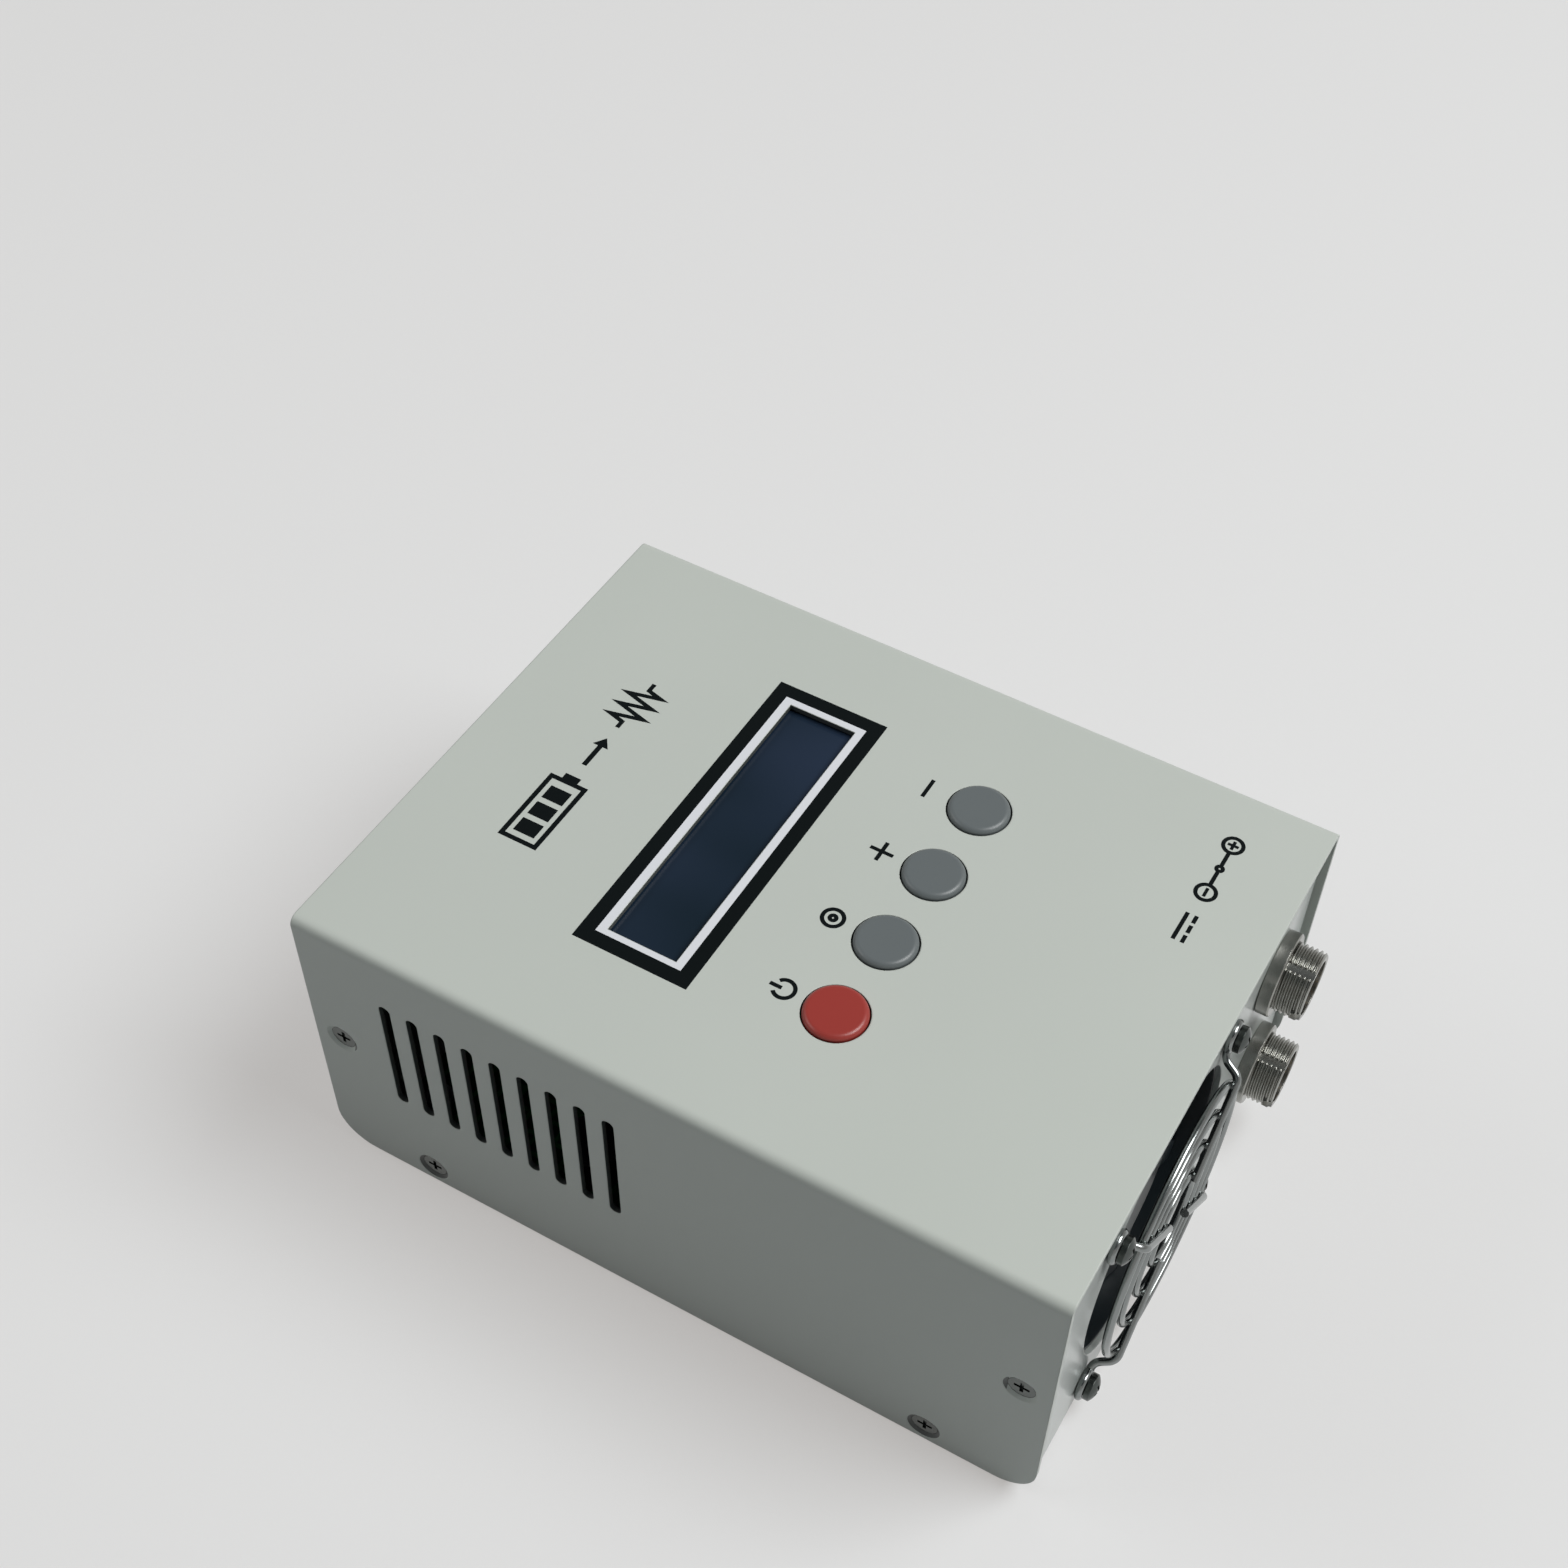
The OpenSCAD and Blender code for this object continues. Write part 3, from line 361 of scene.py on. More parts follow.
@dataclass(frozen=True)
class WoundFinish(Finish):
    """Enamelled wire laid in close turns."""

    turn: float = 0.9 * MM
    turn_depth: float = 0.3 * MM
    turn_strength: float = 0.8
    unevenness: float = 1.0

    def paint(self, graph: Graph) -> None:
        """Lay the finish into an empty material.

        Args:
            graph: Material under construction.
        """
        super().paint(graph)
        wave = graph.add("ShaderNodeTexWave", Vector=graph.place, Scale=WAVE_LENGTH / self.turn,
                         Distortion=self.unevenness)
        graph.relief(wave.outputs["Fac"], self.turn_depth, self.turn_strength, self.edge)


@dataclass(frozen=True)
class BoardFinish(Finish):
    """Circuit board with tracks under its solder mask."""

    track: Colour = (0.05, 0.30, 0.12)
    pitch: float = 4 * MM
    track_share: float = 0.03

    def paint(self, graph: Graph) -> None:
        """Lay the finish into an empty material.

        Args:
            graph: Material under construction.
        """
        super().paint(graph)
        tracks = graph.add("ShaderNodeTexBrick", Vector=graph.place, Scale=BRICK_ROW / self.pitch,
                           Mortar_Size=self.track_share)
        graph.surface(Base_Color=graph.blend(tracks.outputs["Fac"], graph.base(), self.track))


@dataclass(frozen=True)
class DisplayFinish(Finish):
    """Unlit display: dark blue glass, with slow clouds of a lighter bluish colour as a painted sheen."""

    second: Colour = (0.02, 0.02, 0.05)
    cloud_stretch: Place = (1.0, 0.6, 1.0)
    cloud_detail: float = 1.0
    cloud_range: Point = (-0.6, 1.6)
    grain_strength: float = 0.1

    def paint(self, graph: Graph) -> None:
        """Lay the finish into an empty material.

        Args:
            graph: Material under construction.
        """
        # Painted sheen: slow clouds of the lighter second colour over the dark glass stand in for a soft
        # reflection
        cloud = graph.noise(self.tone_size, self.cloud_detail, Vector(self.cloud_stretch))
        graph.surface(
            Base_Color=graph.blend(graph.span(cloud, *self.cloud_range), self.colour, self.second),
            Roughness=self.roughness,
        )
        graph.relief(graph.noise(self.grain_size), self.grain_depth, self.grain_strength, self.edge)


@dataclass(frozen=True)
class CoverFinish(Finish):
    """Paint on the outside of the folded cover, with painted shade: a darker colour on its inside and on the
    walls of its slots, window, button holes and countersinks, where shade falls.
    """

    # Colour of the painted shade on the cover's inside and on the walls of its cut-outs and countersinks
    inside: Colour = (0.06, 0.06, 0.06)
    fold: float = 2.2 * MM
    end_strip: float = 8.5 * MM
    skin: float = 0.08 * MM

    def paint(self, graph: Graph) -> None:
        """Lay the finish into an empty material.

        Args:
            graph: Material under construction.
        """
        super().paint(graph)
        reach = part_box("cover")[1]
        under_top = graph.combine("MULTIPLY", graph.within(Axis.X, reach.x - self.fold),
                                  graph.within(Axis.Z, reach.z - self.skin))
        behind_sides = graph.combine("MULTIPLY", graph.within(Axis.X, reach.x - self.skin),
                                     graph.within(Axis.Z, reach.z - self.fold))
        # Painted shade: the cover's inside and the walls of its cut-outs and countersinks take a darker
        # colour, where shade falls
        inner = graph.combine("MULTIPLY", graph.combine("MAXIMUM", under_top, behind_sides),
                              graph.within(Axis.Y, reach.y - self.end_strip))
        graph.surface(Base_Color=graph.blend(inner, graph.base(), self.inside))


@dataclass(frozen=True)
class FloorFinish(Finish):
    """Pale, slightly cool paper that the camera and bright metal see lighter and neutral."""

    glow: float = 0.4
    glow_colour: Colour = (1.0, 0.95, 0.915)

    def paint(self, graph: Graph) -> None:
        """Lay the finish into an empty material.

        Args:
            graph: Material under construction.
        """
        super().paint(graph)
        path = graph.add("ShaderNodeLightPath")
        seen = graph.combine("MAXIMUM", path.outputs["Is Camera Ray"], path.outputs["Is Glossy Ray"])
        seen = graph.combine("MAXIMUM", seen, path.outputs["Is Transmission Ray"])
        graph.surface(Emission_Color=self.glow_colour, Emission_Strength=graph.span(seen, 0.0, self.glow))


STEEL = linear(176, 178, 180)
LEAD_BLACK = linear(26, 26, 28)
LEAD_RED = linear(158, 30, 26)
SLEEVE_BLUE = linear(30, 40, 84)

# The finish of each material slot in the record, under the slot's name
FINISHES: dict[str, Finish] = {finish.name: finish for finish in (
    # The cover's darker inside colour is painted shade on its inside and on the walls of its cut-outs and
    # countersinks
    CoverFinish("case_paint", linear(189, 194, 187), roughness=0.42, tone=0.02, tone_size=50 * MM,
                grain_size=0.9 * MM, grain_depth=0.02 * MM, edge=0.35 * MM, inside=linear(70, 74, 72)),
    Finish("plated_steel", STEEL, roughness=0.28, metallic=1.0),
    Finish("bright_chrome", linear(142, 146, 145), roughness=0.2, metallic=1.0, grain_depth=0.003 * MM,
           edge=0.05 * MM),
    Finish("white_nylon", linear(226, 226, 220), roughness=0.55),
    Finish("bezel_black", linear(24, 25, 27), roughness=0.45),
    # The display's lighter second colour is a painted sheen on the glass
    DisplayFinish("display_glass", linear(16, 31, 42), roughness=0.1, tone_size=26 * MM,
                  grain_depth=0.005 * MM, second=linear(36, 48, 67)),
    Finish("light_guide", linear(220, 226, 230), roughness=0.6),
    BoardFinish("circuit_board", linear(14, 74, 44), roughness=0.35, track=linear(38, 112, 66)),
    Finish("black_plastic", linear(27, 30, 32), roughness=0.42, tone=0.12),
    Finish("ribbon_grey", linear(160, 162, 165), roughness=0.6),
    Finish("cap_red", linear(152, 54, 47), roughness=0.36, tone=0.03, edge=0.1 * MM),
    Finish("cap_grey", linear(99, 105, 106), roughness=0.38, tone=0.03, edge=0.1 * MM),
    Finish("ferrite", linear(62, 62, 64), roughness=0.6, metallic=0.4),
    WoundFinish("copper_wire", linear(186, 108, 62), roughness=0.35, metallic=0.8),
    Finish("lead_sheath", linear(150, 28, 24), roughness=0.5),
    Finish("gold_contacts", linear(212, 172, 84), roughness=0.22, metallic=1.0),
    Finish("plug_ivory", linear(226, 220, 200), roughness=0.5),
    BrushedFinish("sink_aluminium", linear(196, 198, 200), roughness=0.38, metallic=1.0),
    Finish("thermal_pad", linear(196, 196, 196), roughness=0.7),
    Finish("can_sleeve", SLEEVE_BLUE, roughness=0.35),
    Finish("relay_blue", linear(42, 82, 158), roughness=0.4),
)}

# Finishes of single pieces
SCREW_NICKEL = Finish("screw_nickel", linear(86, 90, 88), roughness=0.24, metallic=1.0, edge=0.1 * MM)
SHELL_NICKEL = Finish("shell_nickel", linear(158, 158, 153), roughness=0.26, metallic=1.0,
                      grain_depth=0.003 * MM, edge=0.05 * MM)
INK_BLACK = Finish("ink_black", linear(10, 16, 17), roughness=0.4, tone=0.1, grain_depth=0.01 * MM,
                   edge=0.01 * MM, shine=0.12)
INK_WHITE = Finish("ink_white", linear(216, 218, 222), roughness=0.45, tone=0.02, grain_depth=0.01 * MM,
                   edge=0.01 * MM)
FLOOR = FloorFinish("floor_paper", linear(157, 161, 163), roughness=0.9, tone=0.012, tone_size=0.5, edge=0.0)


class Mesher:
    """Collects closed solids into one mesh."""

    def __init__(self) -> None:
        """Start with no faces."""
        self.points: list[Vector] = []
        self.faces: list[tuple[int, ...]] = []

    def prism(self, outline: Sequence[Point], low: float, high: float) -> None:
        """Add an upright solid.

        Args:
            outline: Corners in the XY plane, counter-clockwise.
            low: Height of the lower face.
            high: Height of the upper face.
        """
        start, count = len(self.points), len(outline)
        self.points += [Vector((x, y, z)) for z in (low, high) for x, y in outline]
        self.faces.append(tuple(start + i for i in reversed(range(count))))
        self.faces.append(tuple(start + count + i for i in range(count)))
        for i in range(count):
            j = (i + 1) % count
            self.faces.append((start + i, start + j, start + count + j, start + count + i))

    def band(self, outer: Sequence[Point], inner: Sequence[Point], low: float, high: float,
             closed: bool) -> None:
        """Add an upright band between two outlines with the same number of points.

        Args:
            outer: Points of the outer line, counter-clockwise.
            inner: Matching points of the inner line.
            low: Height of the lower face.
            high: Height of the upper face.
            closed: Whether the last point joins the first.
        """
        loops = [[Vector((x, y, z)) for x, y in line]
                 for line, z in ((outer, low), (outer, high), (inner, high), (inner, low))]
        self.sweep(list(map(list, zip(*loops))), closed)

    def sweep(self, rings: Sequence[Sequence[Vector]], closed: bool, capped: bool = True) -> None:
        """Join closed sections into one solid.

        Args:
            rings: Sections with the same number of points.
            closed: Whether the last section joins the first.
            capped: Whether the end sections of an open row are filled.
        """
        start, count, size = len(self.points), len(rings), len(rings[0])
        for section in rings:
            self.points += section
        for i in range(count if closed else count - 1):
            j = (i + 1) % count
            for k in range(size):
                m = (k + 1) % size
                self.faces.append((start + i * size + k, start + j * size + k,
                                   start + j * size + m, start + i * size + m))
        if capped and not closed:
            self.faces.append(tuple(start + k for k in range(size)))
            self.faces.append(tuple(start + (count - 1) * size + k for k in reversed(range(size))))

    def wire(self, path: Sequence[Vector], across: Vector, radius: float, closed: bool,
             sides: int = 20) -> None:
        """Add a round wire along a flat path.

        Args:
            path: Points of the wire's middle, all in one plane.
            across: Unit vector at right angles to that plane.
            radius: Radius of the wire.
            closed: Whether the last point joins the first.
            sides: Number of points round the wire.
        """
        last = len(path) - 1
        angles = [math.tau * step / sides for step in range(sides)]
        rings = []
        for number, spot in enumerate(path):
            before = path[number - 1] if closed or number > 0 else spot
            after = path[(number + 1) % (last + 1)] if closed or number < last else spot
            side = across.cross((after - before).normalized())
            rings.append([spot + radius * (math.cos(a) * side + math.sin(a) * across) for a in angles])
        self.sweep(rings, closed)

    def build(self, name: str, finish: Finish, smooth: bool = False) -> bpy.types.Object:
        """Turn the collected solids into an object.

        Args:
            name: Name of the object.
            finish: Finish of every face.
            smooth: Whether gently bent faces are shaded as one.

        Returns:
            The new object, linked to the scene.
        """
        mesh = bpy.data.meshes.new(name)
        mesh.from_pydata([tuple(p) for p in self.points], [], self.faces)
        shape = bmesh.new()
        shape.from_mesh(mesh)
        bmesh.ops.remove_doubles(shape, verts=shape.verts, dist=MERGE_DISTANCE)
        bmesh.ops.recalc_face_normals(shape, faces=shape.faces)
        shape.to_mesh(mesh)
        shape.free()
        mesh.validate()
        mesh.materials.append(finish.material())
        if smooth:
            mesh.shade_smooth()
            mesh.set_sharp_from_angle(angle=SMOOTH_ANGLE)
        made = bpy.data.objects.new(name, mesh)
        bpy.context.scene.collection.objects.link(made)
        return made


def report(piece: bpy.types.Object, body: str) -> bpy.types.Object:
    """Let a piece ride on a body and log it.

    Args:
        piece: The piece.
        body: Name of the body.

    Returns:
        The same piece.
    """
    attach(piece, body)
    LOG.info("%s rides on %s", piece.name, body)
    return piece


def middle(node: str) -> Vector:
    """Middle of a node's box."""
    low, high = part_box(node)
    return (low + high) / 2


@dataclass
class PackedNodes:
    """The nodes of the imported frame, each with the finish of its slot or one of its own."""

    transistor_tab_top: float = 17.98 * MM
    can_sleeve_top: float = 33.4 * MM

    def lead_pair(self, name: str, node: str) -> Finish:
        """A finish for a black lead and, to the right of it, a red one."""
        return SplitFinish(name, LEAD_BLACK, axis=Axis.X, level=middle(node).x, upper_colour=LEAD_RED)

    def own_finishes(self) -> dict[str, Finish]:
        """Finishes of nodes that differ from their slot's.

        Returns:
            A finish for each such node's name.
        """
        return {
            "load_leads": self.lead_pair("load_lead_pair", "load_leads"),
            "supply_leads": Finish("supply_lead_pair", LEAD_BLACK),
            "fan_lead": self.lead_pair("fan_lead_pair", "fan_lead"),
            "power_transistors": SplitFinish(
                "transistor_body", STEEL, roughness=0.35, metallic=1.0, axis=Axis.Z,
                level=self.transistor_tab_top, upper_colour=linear(28, 29, 31)),
            "filter_capacitors": SplitFinish(
                "capacitor_can", SLEEVE_BLUE, roughness=0.35, axis=Axis.Z, level=self.can_sleeve_top,
                upper_colour=linear(190, 192, 194), upper_metallic=1.0),
            "chassis": Finish(
                "panel_paint", linear(178, 183, 179), roughness=0.3, tone=0.02, tone_size=50 * MM,
                grain_size=1.2 * MM, grain_depth=0.02 * MM, edge=0.35 * MM, coat=0.3),
            "fan_rotor": Finish("fan_black", linear(17, 27, 32), roughness=0.3, tone=0.1),
            "fan_frame": Finish("fan_frame_black", linear(20, 29, 33), roughness=0.38, tone=0.1),
            "cover_screws": SCREW_NICKEL,
            "fan_screws": SCREW_NICKEL,
            "fan_stator": Finish("lamination", linear(120, 122, 124), roughness=0.45, metallic=1.0),
        }

    def dress(self) -> None:
        """Give every node its finish."""
        own = self.own_finishes()
        for entry in frame["record"]["subparts"]:
            node = frame["nodes"][entry["node"]]
            finish = own.get(entry["node"], FINISHES[entry["material_slot"]])
            node.data.materials.clear()
            node.data.materials.append(finish.material())
            LOG.info("%s takes the finish %s", entry["node"], finish.name)


@dataclass
class Ink:
    """Draws thin flat shapes on top of the cover."""

    rise: float = 0.03 * MM
    sunk: float = 0.02 * MM
    stroke: float = 0.8 * MM
    arc_step: float = 7.5
    arc_least: int = 8

    def __post_init__(self) -> None:
        """Find the heights of the ink's faces and start with nothing drawn."""
        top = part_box("cover")[1].z
        self.heights: Point = (top - self.sunk, top + self.rise)
        self.mesher = Mesher()

    def bar(self, start: Point, end: Point, width: Optional[float] = None) -> None:
        """Draw a straight line with square ends.

        Args:
            start: First end of the line's middle.
            end: Last end of the line's middle.
            width: Width of the line, or nothing for the usual stroke.
        """
        self.line([start, end], width or self.stroke)

    def box(self, low: Point, high: Point) -> None:
        """Draw a filled rectangle between two corners."""
        self.fill([low, (high[0], low[1]), high, (low[0], high[1])])

    def fill(self, outline: Sequence[Point]) -> None:
        """Draw a filled shape with its corners counter-clockwise."""
        self.mesher.prism(outline, *self.heights)

    def arc(self, centre: Point, radius: float, start: float = 0.0, sweep: float = FULL_TURN) -> None:
        """Draw part of a ring, or all of it.

        Args:
            centre: Centre of the ring.
            radius: Radius of the line's middle.
            start: First angle in degrees.
            sweep: Length of the arc in degrees.
        """
        closed = sweep >= FULL_TURN
        count = max(self.arc_least, round(sweep / self.arc_step))
        angles = [math.radians(start + sweep * i / count) for i in range(count if closed else count + 1)]
        outer, inner = ([(centre[0] + r * math.cos(a), centre[1] + r * math.sin(a)) for a in angles]
                        for r in (radius + self.stroke / 2, radius - self.stroke / 2))
        self.mesher.band(outer, inner, *self.heights, closed)

    def border(self, low: Point, high: Point, inner_low: Point, inner_high: Point) -> None:
        """Draw the band between two rectangles, each given by two corners."""
        outer, inner = ([a, (b[0], a[1]), b, (a[0], b[1])] for a, b in ((low, high), (inner_low, inner_high)))
        self.mesher.band(outer, inner, *self.heights, True)

    def line(self, points: Sequence[Point], width: float) -> None:
        """Draw a bent line with mitred corners and square ends.

        Args:
            points: Ends and corners of the line's middle.
            width: Width of the line.
        """
        spots = [Vector(point) for point in points]
        ways = [(b - a).normalized() for a, b in zip(spots, spots[1:])]
        left, right = [], []
        for number, spot in enumerate(spots):
            before, after = ways[max(0, number - 1)], ways[min(number, len(ways) - 1)]
            normal = Vector((-before.y - after.y, before.x + after.x)).normalized()
            reach = width / 2 / normal.dot(Vector((-before.y, before.x)))
            left.append(tuple(spot + normal * reach))
            right.append(tuple(spot - normal * reach))
        self.mesher.band(right, left, *self.heights, False)

    def print(self, name: str, finish: Finish = INK_BLACK) -> bpy.types.Object:
        """Turn what was drawn into a piece on the cover.

        Args:
            name: Name of the piece.
            finish: Colour of the ink.

        Returns:
            The piece.
        """
        return report(self.mesher.build(name, finish), "case")


@dataclass
class WindowPrint:
    """The black border printed round the window, and the pale line inside it."""

    low: Point = (-35.8 * MM, 8.7 * MM)
    high: Point = (37.6 * MM, 32.6 * MM)
    width: float = 3.0 * MM
    window_half: Point = (32.3 * MM, 7.2 * MM)
    window_gap: float = 0.1 * MM

    def build(self) -> None:
        """Print the border and the line."""
        inner_low = (self.low[0] + self.width, self.low[1] + self.width)
        inner_high = (self.high[0] - self.width, self.high[1] - self.width)
        border = Ink()
        border.border(self.low, self.high, inner_low, inner_high)
        border.print("window_border")
        spot = middle("lcd_glass")
        half_x, half_y = (half + self.window_gap for half in self.window_half)
        line = Ink()
        line.border(inner_low, inner_high,
                    (spot.x - half_x, spot.y - half_y), (spot.x + half_x, spot.y + half_y))
        line.print("window_line", INK_WHITE)


class Sign(Enum):
    """The sign printed behind each button, from left to right."""

    POWER = "on_button"
    SELECT = "set_button"
    PLUS = "up_button"
    MINUS = "down_button"


@dataclass
class KeySigns:
    """Plain signs behind the buttons."""

    size: float = 4.8 * MM
    step: float = 10.9 * MM
    dot_share: float = 0.75
    power_drop: float = 0.2
    power_start: float = 128
    power_sweep: float = 284

    def draw(self, ink: Ink, sign: Sign, spot: Point) -> None:
        """Draw one button's sign.

        Args:
            ink: Drawing to add to.
            sign: Which sign.
            spot: Middle of the sign.
        """
        x, y = spot
        half = self.size / 2
        ring_r = half - ink.stroke / 2
        if sign is Sign.POWER:
            ink.arc((x, y - self.power_drop * half), ring_r, self.power_start, self.power_sweep)
            ink.bar((x, y), (x, y + half))
        elif sign is Sign.SELECT:
            ink.arc(spot, ring_r)
            ink.arc(spot, ink.stroke * self.dot_share)
        else:
            ink.bar((x - half, y), (x + half, y))
        if sign is Sign.PLUS:
            for way in (-1, 1):
                ink.bar((x, y + way * ink.stroke / 2), (x, y + way * half))

    def build(self) -> None:
        """Print one sign behind each button."""
        for sign in Sign:
            key = middle(sign.value)
            ink = Ink()
            self.draw(ink, sign, (key.x, key.y + self.step))
            ink.print("mark_" + sign.name.lower())


@dataclass
class Heading:
    """A plain cell, an arrow and a resistor, in a row behind the window."""

    y: float = 53.4 * MM
    cell_x: Point = (-23 * MM, -5.6 * MM)
    cell_half: float = 4.2 * MM
    cell_line: float = 1.0 * MM
    nub_end: float = -4.2 * MM
    nub_half: float = 1.7 * MM
    bar_start: float = -20.8 * MM
    bar_count: int = 3
    bar_step: float = 4.6 * MM
    bar_width: float = 3.4 * MM
    bar_half: float = 2.3 * MM
    arrow_x: Point = (-0.8 * MM, 7.2 * MM)
    arrow_head: float = 2.4 * MM
    arrow_head_half: float = 1.68 * MM
    arrow_line: float = 1.04 * MM
    resistor_x: Point = (10.6 * MM, 24.0 * MM)
    peak_start: float = 13.2 * MM
    peak_count: int = 6
    peak_step: float = 1.6 * MM
    peak_height: float = 3.2 * MM
    peak_lead: Point = (12.4 * MM, 22.0 * MM)
    resistor_line: float = 0.9 * MM

    def draw_cell(self, ink: Ink) -> None:
        """Draw a cell with three charge bars and its nub.

        Args:
            ink: Drawing to add to.
        """
        start, end = self.cell_x
        low, high = self.y - self.cell_half, self.y + self.cell_half
        line = self.cell_line
        ink.border((start, low), (end, high), (start + line, low + line), (end - line, high - line))
        ink.box((end, self.y - self.nub_half), (self.nub_end, self.y + self.nub_half))
        for number in range(self.bar_count):
            left = self.bar_start + number * self.bar_step
            ink.box((left, self.y - self.bar_half), (left + self.bar_width, self.y + self.bar_half))

    def draw_arrow(self, ink: Ink) -> None:
        """Draw an arrow to the right with a filled head.

        Args:
            ink: Drawing to add to.
        """
        start, end = self.arrow_x
        neck = end - self.arrow_head
        low, high = self.y - self.arrow_head_half, self.y + self.arrow_head_half
        ink.bar((start, self.y), (neck, self.y), self.arrow_line)
        ink.fill([(neck, low), (end, self.y), (neck, high)])

    def draw_resistor(self, ink: Ink) -> None:
        """Draw a zigzag resistor with short leads.

        Args:
            ink: Drawing to add to.
        """
        peaks = [(self.peak_start + number * self.peak_step, self.y + (-1) ** number * self.peak_height)
                 for number in range(self.peak_count)]
        start, end = ((x, self.y) for x in self.resistor_x)
        first, last = ((x, self.y) for x in self.peak_lead)
        ink.line([start, first, *peaks, last, end], self.resistor_line)

    def build(self) -> None:
        """Print the row."""
        ink = Ink()
        self.draw_cell(ink)
        self.draw_arrow(ink)
        self.draw_resistor(ink)
        ink.print("mark_heading")


@dataclass
class PolaritySign:
    """The direct-current sign and a plain polarity sign near the sockets."""

    y: float = -61.3 * MM
    current_x: Point = (18.5 * MM, 25.5 * MM)
    current_half: float = 0.9 * MM
    dash_count: int = 3
    dash_step: float = 2.55 * MM
    dash: float = 1.9 * MM
    minus_x: float = 31.5 * MM
    dot_x: float = 38 * MM
    plus_x: float = 44.5 * MM
    ring_r: float = 1.9 * MM
    cross_half: float = 1.1 * MM
    cross_share: float = 0.8
    dot_share: float = 0.75

    def draw_current(self, ink: Ink) -> None:
        """Draw a line over a row of dashes.

        Args:
            ink: Drawing to add to.
        """
        start, end = self.current_x
        ink.bar((start, self.y + self.current_half), (end, self.y + self.current_half))
        for number in range(self.dash_count):
            left = start + number * self.dash_step
            ink.bar((left, self.y - self.current_half), (left + self.dash, self.y - self.current_half))

    def draw_polarity(self, ink: Ink) -> None:
        """Draw a ringed minus and a ringed plus, joined through a dot.

        Args:
            ink: Drawing to add to.
        """
        cross = ink.stroke * self.cross_share
        for x in (self.minus_x, self.plus_x):
            ink.arc((x, self.y), self.ring_r)
            ink.bar((x - self.cross_half, self.y), (x + self.cross_half, self.y), cross)
        for way in (-1, 1):
            inner, outer = self.y + way * cross / 2, self.y + way * self.cross_half
            ink.bar((self.plus_x, inner), (self.plus_x, outer), cross)
        dot_r = ink.stroke * self.dot_share
        ink.arc((self.dot_x, self.y), dot_r)
        ring_edge, dot_edge = self.ring_r + ink.stroke / 2, dot_r + ink.stroke / 2
        ink.bar((self.minus_x + ring_edge, self.y), (self.dot_x - dot_edge, self.y))
        ink.bar((self.dot_x + dot_edge, self.y), (self.plus_x - ring_edge, self.y))

    def build(self) -> None:
        """Print both signs."""
        ink = Ink()
        self.draw_current(ink)
        self.draw_polarity(ink)
        ink.print("mark_polarity")


